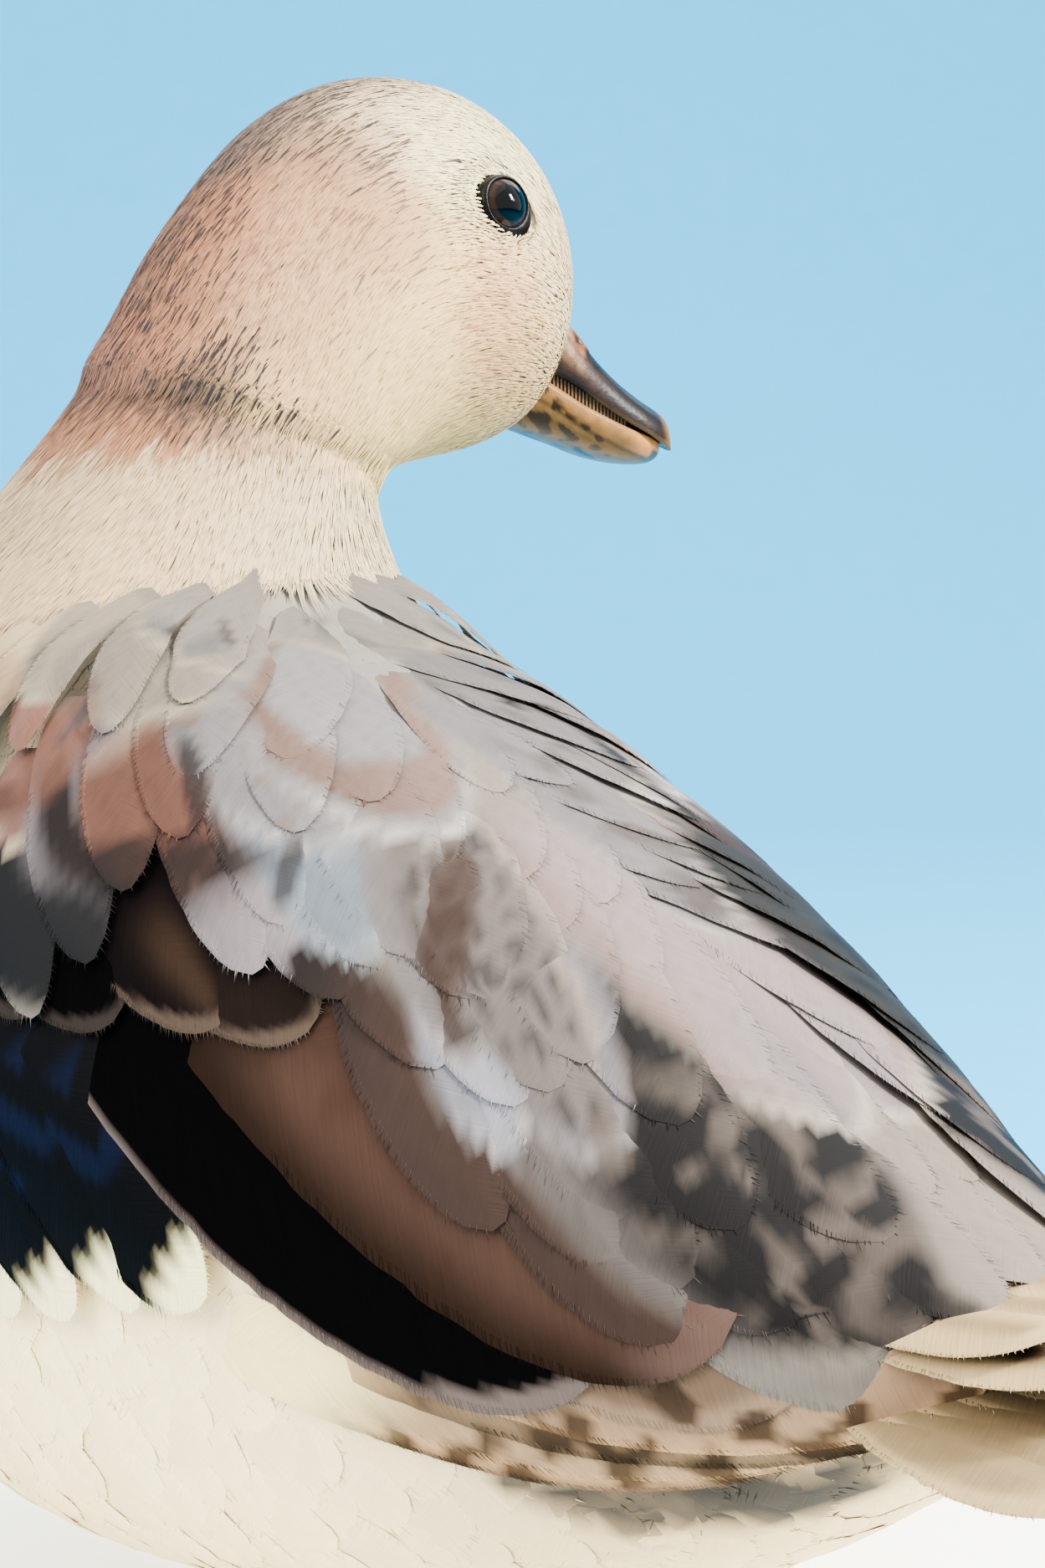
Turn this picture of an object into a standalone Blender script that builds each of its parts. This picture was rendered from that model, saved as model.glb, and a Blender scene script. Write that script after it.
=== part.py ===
"""A standing bantam call duck hen, life size, her head turned over her right shoulder.

Metres, +Z up. She faces -Y, so her left side is +X. Every surface of the body is a set of rings
worked out from a few stations; the wing and tail feathers are laid on it by loops.
Run with: blender --background --python part.py
"""

import math

import bmesh
import bpy
from mathutils import Vector

# Gap between neighbours, and the wider one that a swollen cutter leaves between facets
GAP = 0.0003
CLEAR = 0.00038

# The body's middle plane lies this far from the middle of the whole figure's box.
BODY_SHIFT = Vector((0.0113, -0.0359, 0.0))

# Body stations from the tail coverts to the base of the neck. Each ring lies in a plane that holds
# the X direction: back point (y, z), belly point (y, z), half width, and how square it is (1 is an ellipse).
BODY_STATIONS = (
    (0.122, 0.0940, 0.121, 0.0820, 0.0150, 1.00),
    (0.109, 0.1000, 0.108, 0.0700, 0.0230, 1.00),
    (0.096, 0.1065, 0.094, 0.0590, 0.0308, 1.00),
    (0.080, 0.1160, 0.077, 0.0485, 0.0395, 0.97),
    (0.060, 0.1285, 0.057, 0.0400, 0.0472, 0.94),
    (0.037, 0.1412, 0.034, 0.0340, 0.0530, 0.92),
    (0.014, 0.1525, 0.008, 0.0300, 0.0562, 0.90),
    (-0.001, 0.1590, -0.022, 0.0270, 0.0574, 0.89),
    (-0.006, 0.1630, -0.053, 0.0320, 0.0568, 0.89),
    (-0.0085, 0.1655, -0.083, 0.0550, 0.0548, 0.90),
    (-0.0095, 0.1670, -0.0985, 0.0930, 0.0508, 0.92),
    (-0.0100, 0.1680, -0.0975, 0.1390, 0.0445, 0.95),
)
# The share of the depth from the back at which a ring is widest, and how much squarer it is below that
WIDEST = 0.52
FULL_FLANK = 0.10
TAIL_BASE = 2
NECK_BASE = len(BODY_STATIONS) - 1
RING_POINTS = 24

# The head turns this far to her right of straight ahead, about its own centre.
HEAD_CENTRE = Vector((-0.034, -0.035, 0.214))
HEAD_TURN = math.radians(105)
# The tables of the head and bill are in its own frame, and this share of them is a bantam hen's size.
HEAD_SIZE = 0.87
# Head stations from the collar to the root of the bill: forward f and up z of the nape, crown and
# forehead, then of the throat and chin, and the half width.
HEAD_STATIONS = (
    (-0.0520, -0.0190, 0.0000, -0.0365, 0.0262),
    (-0.0460, -0.0100, 0.0020, -0.0362, 0.0264),
    (-0.0395, 0.0010, 0.0038, -0.0356, 0.0268),
    (-0.0312, 0.0122, 0.0055, -0.0352, 0.0272),
    (-0.0215, 0.0228, 0.0075, -0.0348, 0.0275),
    (-0.0100, 0.0300, 0.0102, -0.0343, 0.0273),
    (0.0025, 0.0326, 0.0135, -0.0337, 0.0267),
    (0.0152, 0.0308, 0.0172, -0.0330, 0.0254),
    (0.0262, 0.0244, 0.0216, -0.0316, 0.0228),
    (0.0334, 0.0150, 0.0260, -0.0297, 0.0187),
    (0.0368, 0.0048, 0.0290, -0.0275, 0.0140),
    (0.0380, -0.0045, 0.0308, -0.0252, 0.0092),
)

# Neck: its rings, how much less wide than the body it starts, how far it slips inside the collar,
# and how fast it narrows.
NECK_STEPS = 6
NECK_START = 0.985
COLLAR_STEP = 0.0016
NECK_NARROWS = 1.15

# Where the eye opens, forward and up in the head's frame, the eyeball, and the bare ring of the lids
EYE_SPOT = (0.0128, 0.0094)
EYE_RADIUS = 0.0050
LID_RADIUS = 0.0042
LID_THICK = 0.0010
LID_TALL = 1.03
LID_WIDE = 0.97

# Upper bill stations: forward f, culmen z, edge z, half width
UPPER_BILL = (
    (0.0240, -0.0050, -0.0165, 0.0068),
    (0.0300, -0.0045, -0.0176, 0.0080),
    (0.0360, -0.0052, -0.0198, 0.0088),
    (0.0405, -0.0100, -0.0222, 0.0092),
    (0.0450, -0.0152, -0.0250, 0.0095),
    (0.0495, -0.0194, -0.0276, 0.0099),
    (0.0540, -0.0226, -0.0298, 0.0101),
    (0.0575, -0.0248, -0.0312, 0.0089),
    (0.0600, -0.0268, -0.0320, 0.0060),
    (0.0612, -0.0290, -0.0326, 0.0024),
)
# Lower bill stations: forward f, lip z, keel z, half width
LOWER_BILL = (
    (0.0200, -0.0180, -0.0258, 0.0078),
    (0.0260, -0.0200, -0.0278, 0.0085),
    (0.0330, -0.0233, -0.0300, 0.0090),
    (0.0400, -0.0272, -0.0322, 0.0092),
    (0.0460, -0.0304, -0.0342, 0.0092),
    (0.0510, -0.0322, -0.0352, 0.0087),
    (0.0550, -0.0332, -0.0354, 0.0064),
    (0.0568, -0.0337, -0.0351, 0.0034),
)
# How square the bills' sections are at the side and at the ridge, and how far the palate is hollowed
UPPER_SIDE, UPPER_RIDGE = 0.75, 0.9
LOWER_SIDE, LOWER_KEEL = 0.8, 0.8
PALATE_HOLLOW = 0.0009
# Nostril: forward, aside and up in the head's frame, its size, and its stretch along, across and up
NOSTRIL_SPOT = (0.0402, 0.0052, -0.0120)
NOSTRIL_SIZE = 0.0011
NOSTRIL_STRETCH = (1.6, 1.0, 0.9)
# The comb in the mouth: ridges a side, the stretch of lip that they line, and each one's sizes
LAMELLAE = 11
LAMELLAE_FROM, LAMELLAE_TO = 0.0320, 0.0465
LAMELLA_ROOT, LAMELLA_TALL, LAMELLA_HALF = 0.0010, 0.0026, 0.00045
LAMELLA_OUTER, LAMELLA_INNER = 0.0004, 0.0022

# Feathers: thickness, the half width from which one is ridged along its shaft, and how far its two
# sides hang from the shaft, as a share of its half width
VANE_THICK = 0.0007
RIDGED_FROM = 0.010
WING_CAMBER = 0.05
TAIL_CAMBER = 0.04
# Rows of wing feathers: count, first root, last root, first tip, last tip (station, degrees), height
# at root and at tip, half width, tilt. The first feather of a row is the one nearest the breast.
WING_ROWS = {
    "primaries": (3, (5.2, 88), (4.7, 78), (1.9, 82), (0.9, 58), 0.0026, 0.0032, 0.0056, 0.16),
    "secondaries": (6, (8.6, 79), (6.2, 68), (7.5, 95), (4.6, 89), 0.0026, 0.0042, 0.0084, 0.15),
    "tertials": (4, (7.3, 70), (6.6, 45), (2.5, 80), (1.5, 40), 0.0036, 0.0050, 0.0115, 0.13),
    "greater_coverts": (5, (9.3, 70), (7.0, 57), (8.4, 86), (5.8, 76), 0.0036, 0.0062, 0.0092, 0.11),
    "lower_scapulars": (4, (9.3, 51), (6.8, 29), (7.2, 67), (3.8, 37), 0.0030, 0.0068, 0.0120, 0.07),
    "upper_scapulars": (4, (9.4, 28), (7.6, 18), (7.8, 43), (5.0, 22), 0.0014, 0.0046, 0.0112, 0.06),
}
WING_BLUNT = 0.70
# The arm and hand under them: middle station and degrees, reach to the breast and to the tail in
# stations, spread in degrees, height in the middle and at the rim, and how deep it is sunk
PAD_MIDDLE = (7.9, 53.0)
PAD_FRONT = 2.5
PAD_BACK = 4.4
PAD_SPREAD = 41.0
PAD_HEIGHT = 0.0034
PAD_RIM = 0.0011
PAD_EDGE = 0.0004
PAD_SUNK = 0.0025

# Tail: feathers in the fan and their place, and the coverts over and under them
TAIL_VANES = 12
TAIL_LENGTH = 0.070
TAIL_HALF = 0.0075
TAIL_ROUNDED = 0.18
TAIL_SPREAD = math.radians(30)
TAIL_RISE = math.radians(5)
TAIL_CURL = 0.003
TAIL_LEAN = 0.2
TAIL_ROOT = Vector((0, 0.1010, 0.0895))
TAIL_ROOT_HALF = 0.0115
TAIL_STEP = 0.0011
TAIL_BLUNT = 0.72
COVERTS = 3
COVERT_LENGTH = 0.046
COVERT_SHORTER = 0.006
COVERT_HALF = 0.0085
COVERT_OVER, COVERT_UNDER = 0.0026, -0.0088
COVERT_ARCH = 0.0011

# Legs: the foot's joint, where the toes turn to, and the heights of the hock and the ankle
LEG_X = 0.0240
LEG_Y = 0.0040
TOE_TURN = 8.0
HOCK_TOP = 0.0320
ANKLE = 0.0115
ANKLE_BACK = 0.0018
# Drumstick: height, how far behind the foot's joint, outward shift, radius
THIGH_STATIONS = (
    (0.0700, 0.0060, 0.0030, 0.0190),
    (0.0580, 0.0080, 0.0026, 0.0200),
    (0.0480, 0.0105, 0.0018, 0.0170),
    (0.0400, 0.0125, 0.0006, 0.0108),
    (HOCK_TOP, 0.0135, 0.0000, 0.0050),
)
# Shank: height, how far behind the foot's joint, radius
SHANK_STATIONS = (
    (HOCK_TOP - GAP, 0.0135, 0.0043),
    (0.0298, 0.0138, 0.0044),
    (0.0262, 0.0116, 0.0034),
    (0.0202, 0.0077, 0.0029),
    (0.0150, 0.0040, 0.0030),
    (ANKLE, ANKLE_BACK, 0.0035),
)
THIGH_DEEPER, SHANK_DEEPER, HEEL_DEEPER = 1.2, 1.15, 1.1
# Toes: name, turn from the foot's own direction in degrees, length, radius at root and at tip
TOES = (
    ("inner", 24.0, 0.0310, 0.0030, 0.0018),
    ("middle", 2.0, 0.0395, 0.0032, 0.0019),
    ("outer", -20.0, 0.0360, 0.0030, 0.0018),
)
# Along a toe: how far, and how thick it is there against its taper, with a swelling at each joint
TOE_SWELL = ((0.0, 1.15), (0.2, 1.0), (0.45, 1.06), (0.6, 0.9), (0.8, 1.02), (1.0, 0.85))
TOE_SUNK = 0.80
HIND_TURN = 170.0
# Hind toe: distance from the joint, height, radius
HIND_STATIONS = ((0.0, 0.0072, 0.0024), (0.006, 0.0064, 0.0021), (0.0125, 0.0044, 0.0017))
# Along a claw: how far, and its share of the root's radius
CLAW_TAPER = ((0.0, 1.0), (0.35, 0.8), (0.7, 0.5), (1.0, 0.12))
CLAW_HOOK = 0.55
CLAW_LENGTH = 0.0052
CLAW_SHARE = 0.86
HIND_CLAW_LENGTH, HIND_CLAW_RADIUS = 0.0035, 0.0013
CLAW_FLOOR = 0.0002
SOLE = 0.0
# Webs: height of the underside, thickness, share of the toes that they reach, how far the edge draws in
WEB_LOW = 0.0007
WEB_THICK = 0.0011
WEB_REACH = 0.94
WEB_DRAWN = 0.16

COLOURS = {
    "head_plumage": ((0.80, 0.72, 0.58), 0.85),
    "neck_plumage": ((0.86, 0.82, 0.72), 0.85),
    "body_plumage": ((0.84, 0.80, 0.70), 0.85),
    "wing_plumage": ((0.50, 0.45, 0.42), 0.80),
    "tail_plumage": ((0.52, 0.42, 0.30), 0.80),
    "bill_horn": ((0.16, 0.09, 0.04), 0.40),
    "leg_skin": ((0.62, 0.24, 0.05), 0.55),
    "claw_horn": ((0.05, 0.035, 0.025), 0.40),
    "eye_glass": ((0.012, 0.006, 0.004), 0.05),
}


def clear_scene():
    for old in list(bpy.data.objects):
        bpy.data.objects.remove(old)


def material(name):
    found = bpy.data.materials.get(name)
    if found:
        return found
    colour, roughness = COLOURS[name]
    made = bpy.data.materials.new(name)
    made.use_nodes = True
    shader = made.node_tree.nodes["Principled BSDF"]
    shader.inputs["Base Color"].default_value = (*colour, 1)
    shader.inputs["Roughness"].default_value = roughness
    shader.inputs["Metallic"].default_value = 0.0
    return made


def mesh_object(name, points, faces, finish):
    """A closed mesh as an object, shaded smooth, its faces turned outwards."""
    mesh = bpy.data.meshes.new(name)
    mesh.from_pydata([tuple(p) for p in points], [], faces)
    work = bmesh.new()
    work.from_mesh(mesh)
    bmesh.ops.recalc_face_normals(work, faces=work.faces)
    work.to_mesh(mesh)
    work.free()
    mesh.shade_smooth()
    made = bpy.data.objects.new(name, mesh)
    made.data.materials.append(material(finish))
    bpy.context.scene.collection.objects.link(made)
    return made


def band_faces(rings, count):
    """The quads between a number of rings of count points each."""
    faces = []
    for i in range(rings - 1):
        for k in range(count):
            n = (k + 1) % count
            faces.append((i * count + k, i * count + n, (i + 1) * count + n, (i + 1) * count + k))
    return faces


def loft(name, rings, finish):
    """A closed solid through rings of as many points each, with a flat fan at each end."""
    count = len(rings[0])
    points = [p for ring in rings for p in ring]
    faces = band_faces(len(rings), count)
    for ring, start in ((rings[0], 0), (rings[-1], (len(rings) - 1) * count)):
        points.append(middle_of(ring))
        hub = len(points) - 1
        faces += [(hub, start + k, start + (k + 1) % count) for k in range(count)]
    return mesh_object(name, points, faces, finish)


def between(rows, at):
    """The value of a table of equal rows at a fractional row number, on a Catmull-Rom curve."""
    last = len(rows) - 1
    at = max(0.0, min(float(last), at))
    i = min(int(at), last - 1)
    t = at - i
    p1, p2 = rows[i], rows[i + 1]
    p0 = rows[i - 1] if i > 0 else [2 * a - b for a, b in zip(p1, p2)]
    p3 = rows[i + 2] if i + 2 <= last else [2 * b - a for a, b in zip(p1, p2)]
    return [
        0.5 * (2 * b + (c - a) * t + (2 * a - 5 * b + 4 * c - d) * t * t + (3 * b - a - 3 * c + d) * t**3)
        for a, b, c, d in zip(p0, p1, p2, p3)
    ]


def row_at(rows, value):
    """The fractional row of a table at which its first, rising value is the given one."""
    for i in range(len(rows) - 1):
        a, b = rows[i][0], rows[i + 1][0]
        if a <= value <= b:
            return i + (value - a) / (b - a)
    return 0.0


def rounded(value, squareness):
    return math.copysign(abs(value) ** squareness, value)


def middle_of(ring):
    return sum((Vector(p) for p in ring), Vector()) / len(ring)


def plane_normal(ring):
    """The unit normal of a flat ring."""
    centre = middle_of(ring)
    return (ring[0] - centre).cross(ring[len(ring) // 4] - centre).normalized()


def shifted(ring, direction, distance):
    return [p + direction * distance for p in ring]


def scaled(ring, factor):
    centre = middle_of(ring)
    return [centre + (p - centre) * factor for p in ring]


def body_point(station, angle):
    """A point of the body's surface: angle is 0 on the back, positive to her left, pi on the belly."""
    back_y, back_z, belly_y, belly_z, half, square = between(BODY_STATIONS, station)
    back, belly = Vector((0, back_y, back_z)), Vector((0, belly_y, belly_z))
    middle = back.lerp(belly, WIDEST)
    upper = math.cos(angle) > 0
    end = back if upper else belly
    if not upper:
        square -= FULL_FLANK
    rise, aside = rounded(abs(math.cos(angle)), square), rounded(math.sin(angle), square)
    return middle + (end - middle) * rise + Vector((half * aside, 0, 0))


def body_normal(station, angle):
    step_s, step_a = 0.05, 0.04
    along = body_point(station + step_s, angle) - body_point(station - step_s, angle)
    around = body_point(station, angle + step_a) - body_point(station, angle - step_a)
    normal = around.cross(along).normalized()
    outward = body_point(station, angle) - body_point(station, angle + math.pi)
    return normal if normal.dot(outward) > 0 else -normal


def over_body(station, angle, height):
    return body_point(station, angle) + body_normal(station, angle) * height


def body_ring(station):
    step = 2 * math.pi / RING_POINTS
    return [body_point(station, k * step) for k in range(RING_POINTS)]


def apply_boolean(target, operation, operand=None, group=None):
    """One Boolean on closed meshes, applied to the target's own mesh."""
    change = target.modifiers.new("join", "BOOLEAN")
    change.operation = operation
    change.solver = "MANIFOLD"
    if group:
        change.operand_type = "COLLECTION"
        change.collection = group
    else:
        change.object = operand
    bpy.context.view_layer.update()
    graph = bpy.context.evaluated_depsgraph_get()
    mesh = bpy.data.meshes.new_from_object(target.evaluated_get(graph))
    target.modifiers.clear()
    target.data = mesh


def keep_largest(target):
    """Keeps only the largest closed surface, so that no loose scrap or sealed hollow stays."""
    work = bmesh.new()
    work.from_mesh(target.data)
    unseen, islands = set(work.verts), []
    while unseen:
        stack, island = [unseen.pop()], set()
        while stack:
            vert = stack.pop()
            island.add(vert)
            for edge in vert.link_edges:
                other = edge.other_vert(vert)
                if other in unseen:
                    unseen.remove(other)
                    stack.append(other)
        islands.append(island)
    largest = max(islands, key=len)
    bmesh.ops.delete(work, geom=[v for v in work.verts if v not in largest], context="VERTS")
    bmesh.ops.triangulate(work, faces=work.faces)
    work.to_mesh(target.data)
    work.free()
    target.data.shade_smooth()


def join(target, pieces):
    """Fuses closed pieces into the target with one union, and removes them."""
    group = bpy.data.collections.new("pieces")
    bpy.context.scene.collection.children.link(group)
    for piece in pieces:
        bpy.context.scene.collection.objects.unlink(piece)
        group.objects.link(piece)
    apply_boolean(target, "UNION", group=group)
    for piece in pieces:
        bpy.data.objects.remove(piece)
    bpy.data.collections.remove(group)
    keep_largest(target)
    return target


def swollen(source, distance):
    """A copy of a solid grown by a distance along its normals, for use as a cutter."""
    copy = source.copy()
    copy.data = source.data.copy()
    bpy.context.scene.collection.objects.link(copy)
    work = bmesh.new()
    work.from_mesh(copy.data)
    work.normal_update()
    moves = [(v, v.normal * distance * v.calc_shell_factor()) for v in work.verts]
    for vert, move in moves:
        vert.co += move
    work.to_mesh(copy.data)
    work.free()
    return copy


def cut(target, cutters):
    """Cuts each cutter from the target, and removes the cutters."""
    for cutter in cutters:
        apply_boolean(target, "DIFFERENCE", operand=cutter)
        bpy.data.objects.remove(cutter)
    keep_largest(target)
    return target


def make_torso():
    rings = [body_ring(TAIL_BASE + i / 2) for i in range(2 * (NECK_BASE - TAIL_BASE) + 1)]
    return loft("torso", rings, "body_plumage")


def head_axes():
    """Forward along the bill, to her right, and up."""
    forward = Vector((-math.sin(HEAD_TURN), -math.cos(HEAD_TURN), 0))
    up = Vector((0, 0, 1))
    return forward, forward.cross(up), up


def head_point(f, side, z):
    """A place in the head's own frame: forward, to her right, and up from the head's centre."""
    forward, right, up = head_axes()
    return HEAD_CENTRE + (forward * f + right * side + up * z) * HEAD_SIZE


def head_ring(station):
    """One ring of the head, from the crown down her right side."""
    outer_f, outer_z, inner_f, inner_z, half = between(HEAD_STATIONS, station)
    outer, inner = head_point(outer_f, 0, outer_z), head_point(inner_f, 0, inner_z)
    middle = outer.lerp(inner, WIDEST)
    right = head_axes()[1]
    ring = []
    for k in range(RING_POINTS):
        angle = 2 * math.pi * k / RING_POINTS
        c, s = math.cos(angle), math.sin(angle)
        end = outer if c > 0 else inner
        ring.append(middle + (end - middle) * abs(c) + right * half * s)
    return ring


def collar_ring():
    """The head's first ring drawn in, its points counted from the back of the body as the body's are."""
    ring = head_ring(0)
    centre = middle_of(ring)
    ring = [p + (centre - p).normalized() * COLLAR_STEP for p in ring]
    back, left = Vector((0, 1, 0)), Vector((1, 0, 0))
    start = max(range(len(ring)), key=lambda k: (ring[k] - centre).normalized().dot(back))
    step = 1 if (ring[(start + 1) % len(ring)] - ring[start]).dot(left) > 0 else -1
    return [ring[(start + step * k) % len(ring)] for k in range(len(ring))]


def make_neck():
    """From the top of the breast to the collar. Its sections change from the body's to the head's."""
    base = body_ring(NECK_BASE)
    up = plane_normal(base)
    up = up if up.z > 0 else -up
    base = scaled(shifted(base, up, GAP), NECK_START)
    collar = collar_ring()
    lift = plane_normal(collar)
    lift = lift if lift.z > 0 else -lift
    collar = shifted(collar, lift, -GAP)
    base_middle, collar_middle = middle_of(base), middle_of(collar)
    rings = []
    for i in range(NECK_STEPS + 1):
        t = i / NECK_STEPS
        narrow = 1 - (1 - t) ** NECK_NARROWS
        centre = base_middle.lerp(collar_middle, t)
        rings.append(
            [
                centre + (low - base_middle).lerp(high - collar_middle, narrow)
                for low, high in zip(base, collar)
            ]
        )
    return loft("neck", rings, "neck_plumage")


def make_head():
    rings = [head_ring(i / 2) for i in range(2 * len(HEAD_STATIONS) - 1)]
    head = loft("head", rings, "head_plumage")
    bpy.context.view_layer.update()
    openings = [eye_opening(head, side) for side in (1, -1)]
    join(head, [lid_ring(place, axis) for place, axis in openings])
    depth = math.sqrt(EYE_RADIUS**2 - LID_RADIUS**2)
    sockets = []
    for name, (place, axis) in zip(("eye_right", "eye_left"), openings):
        centre = place - axis * depth
        ball(name, centre, EYE_RADIUS, 14, 8, "eye_glass")
        sockets.append(ball("socket", centre, EYE_RADIUS + GAP, 14, 8, "eye_glass"))
    return cut(head, sockets)


def eye_opening(head, side):
    """The point of the cheek where an eye opens, and the way that it looks."""
    _, right, up = head_axes()
    start = head_point(EYE_SPOT[0], 0.06 * side, EYE_SPOT[1])
    _, place, normal, _ = head.ray_cast(start, right * -side)
    return place, (normal + right * side + up * 0.05).normalized()


def lid_ring(centre, axis):
    """The bare rim of the lids, a small ring round the eye, its inner edge in front of the eyeball."""
    across = axis.cross(Vector((0, 0, 1))).normalized()
    tall = across.cross(axis).normalized()
    around, section = 14, 5
    points, faces = [], []
    for i in range(around):
        a = 2 * math.pi * i / around
        out = across * math.cos(a) * LID_WIDE + tall * math.sin(a) * LID_TALL
        for k in range(section):
            b = 2 * math.pi * k / section
            reach = LID_RADIUS + LID_THICK * (0.35 + math.cos(b))
            points.append(centre + out * reach + axis * LID_THICK * (0.15 + math.sin(b)))
    for i in range(around):
        for k in range(section):
            j, n = (i + 1) % around, (k + 1) % section
            faces.append((i * section + k, i * section + n, j * section + n, j * section + k))
    return mesh_object("lid", points, faces, "head_plumage")


def ball(name, centre, radius, around, rows, finish, stretch=(1, 1, 1)):
    size = Vector(stretch) * radius
    points = []
    for i in range(1, rows):
        polar = math.pi * i / rows
        for k in range(around):
            a = 2 * math.pi * k / around
            way = Vector((math.sin(polar) * math.cos(a), math.sin(polar) * math.sin(a), math.cos(polar)))
            points.append(centre + way * size)
    top, bottom = len(points), len(points) + 1
    points += [centre + Vector((0, 0, size.z)), centre - Vector((0, 0, size.z))]
    faces = band_faces(rows - 1, around)
    last = (rows - 2) * around
    for k in range(around):
        n = (k + 1) % around
        faces.append((top, k, n))
        faces.append((bottom, last + k, last + n))
    return mesh_object(name, points, faces, finish)


def upper_section(f, top, edge, half):
    """The arch of the upper bill, closed by a palate that is a little hollow."""
    points = []
    arch, floor = 10, 4
    for k in range(arch + 1):
        a = math.pi * k / arch
        height = edge + (top - edge) * math.sin(a) ** UPPER_RIDGE
        points.append(head_point(f, half * rounded(math.cos(a), UPPER_SIDE), height))
    for k in range(1, floor):
        x = -1 + 2 * k / floor
        points.append(head_point(f, half * x * 0.92, edge + PALATE_HOLLOW * (1 - x * x)))
    return points


def lower_section(f, lip, keel, half):
    """The trough of the lower bill, closed by a level top."""
    points = []
    arch, top = 8, 4
    for k in range(arch + 1):
        a = math.pi * k / arch
        height = lip - (lip - keel) * math.sin(a) ** LOWER_KEEL
        points.append(head_point(f, half * rounded(math.cos(a), LOWER_SIDE), height))
    for k in range(1, top):
        x = -1 + 2 * k / top
        points.append(head_point(f, half * x, lip + 0.0002))
    return points


def make_bills(head):
    upper = loft("bill_upper", [upper_section(*row) for row in UPPER_BILL], "bill_horn")
    lower = loft("bill_lower", [lower_section(*row) for row in LOWER_BILL], "bill_horn")
    nostrils = []
    for side in (1, -1):
        place = head_point(NOSTRIL_SPOT[0], NOSTRIL_SPOT[1] * side, NOSTRIL_SPOT[2])
        nostrils.append(ball("nostril", place, NOSTRIL_SIZE, 8, 6, "bill_horn", NOSTRIL_STRETCH))
    cut(upper, [swollen(head, CLEAR)] + nostrils)
    join(lower, lamellae())
    cut(lower, [swollen(head, CLEAR), swollen(upper, CLEAR)])


def lamellae():
    """The comb inside the mouth: upright ridges along the lip."""
    made = []
    faces = [(0, 1, 2, 3), (7, 6, 5, 4), (0, 4, 5, 1), (1, 5, 6, 2), (2, 6, 7, 3), (3, 7, 4, 0)]
    for side in (1, -1):
        for i in range(LAMELLAE):
            f = LAMELLAE_FROM + (LAMELLAE_TO - LAMELLAE_FROM) * i / (LAMELLAE - 1)
            _, lip, _, half = between(LOWER_BILL, row_at(LOWER_BILL, f))
            near, far = (half - LAMELLA_OUTER) * side, (half - LAMELLA_INNER) * side
            corners = []
            for z, wide in ((lip - LAMELLA_ROOT, LAMELLA_HALF), (lip + LAMELLA_TALL, LAMELLA_HALF * 0.6)):
                for df, y in ((-wide, near), (wide, near), (wide, far), (-wide, far)):
                    corners.append(head_point(f + df, y, z))
            made.append(mesh_object("lamella", corners, faces, "bill_horn"))
    return made


def vane(path, sides, normals, widths, finish, tilt, camber):
    """A feather as a thin plate along a path. Wide ones hang a little on each side of the shaft."""
    columns = (-1, 0, 1) if max(widths) > RIDGED_FROM else (-1, 1)
    count = len(columns)
    points = []
    for p, side, normal, width in zip(path, sides, normals, widths):
        spots = [p + (side * u + normal * (tilt * u - camber * abs(u))) * width for u in columns]
        points += [spot - normal * VANE_THICK / 2 for spot in spots]
        points += [spot + normal * VANE_THICK / 2 for spot in spots]
    faces = []
    for i in range(len(path) - 1):
        a, b = 2 * i * count, 2 * (i + 1) * count
        # Both faces are split along the same diagonals.
        for k in range(count - 1):
            faces += [(a + k, b + k, b + k + 1), (a + k, b + k + 1, a + k + 1)]
            low_a, low_b = a + count + k, b + count + k
            faces += [(low_a, low_b + 1, low_b), (low_a, low_a + 1, low_b + 1)]
        for k in (0, count - 1):
            faces.append((a + k, a + count + k, b + count + k, b + k))
    for start in (0, 2 * (len(path) - 1) * count):
        for k in range(count - 1):
            faces.append((start + k, start + k + 1, start + count + k + 1, start + count + k))
    return mesh_object("vane", points, faces, finish)


def feather_width(t, blunt):
    """The share of a feather's full half width at t along it, from its root to its tip."""
    grow = min(1.0, 0.45 + 2.2 * t)
    fall = 1.0 if t < blunt else math.sqrt(max(0.02, 1 - ((t - blunt) / (1 - blunt)) ** 2))
    return grow * fall


def wing_vane(root, tip, heights, half, side, tilt):
    """A feather laid on the body. Root and tip are (station, degrees from the back)."""
    path, normals = [], []
    stops = (0.0, 0.25, 0.5, 0.75, 0.89, 1.0)
    for t in stops:
        station = root[0] + (tip[0] - root[0]) * t
        angle = math.radians(root[1] + (tip[1] - root[1]) * t) * side
        path.append(over_body(station, angle, heights[0] + (heights[1] - heights[0]) * t))
        normals.append(body_normal(station, angle))
    sides = []
    for i, normal in enumerate(normals):
        ahead = path[min(i + 1, len(path) - 1)] - path[max(i - 1, 0)]
        sides.append(ahead.cross(normal).normalized() * side)
    widths = [half * feather_width(t, WING_BLUNT) for t in stops]
    return vane(path, sides, normals, widths, "wing_plumage", -tilt, WING_CAMBER)


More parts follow.
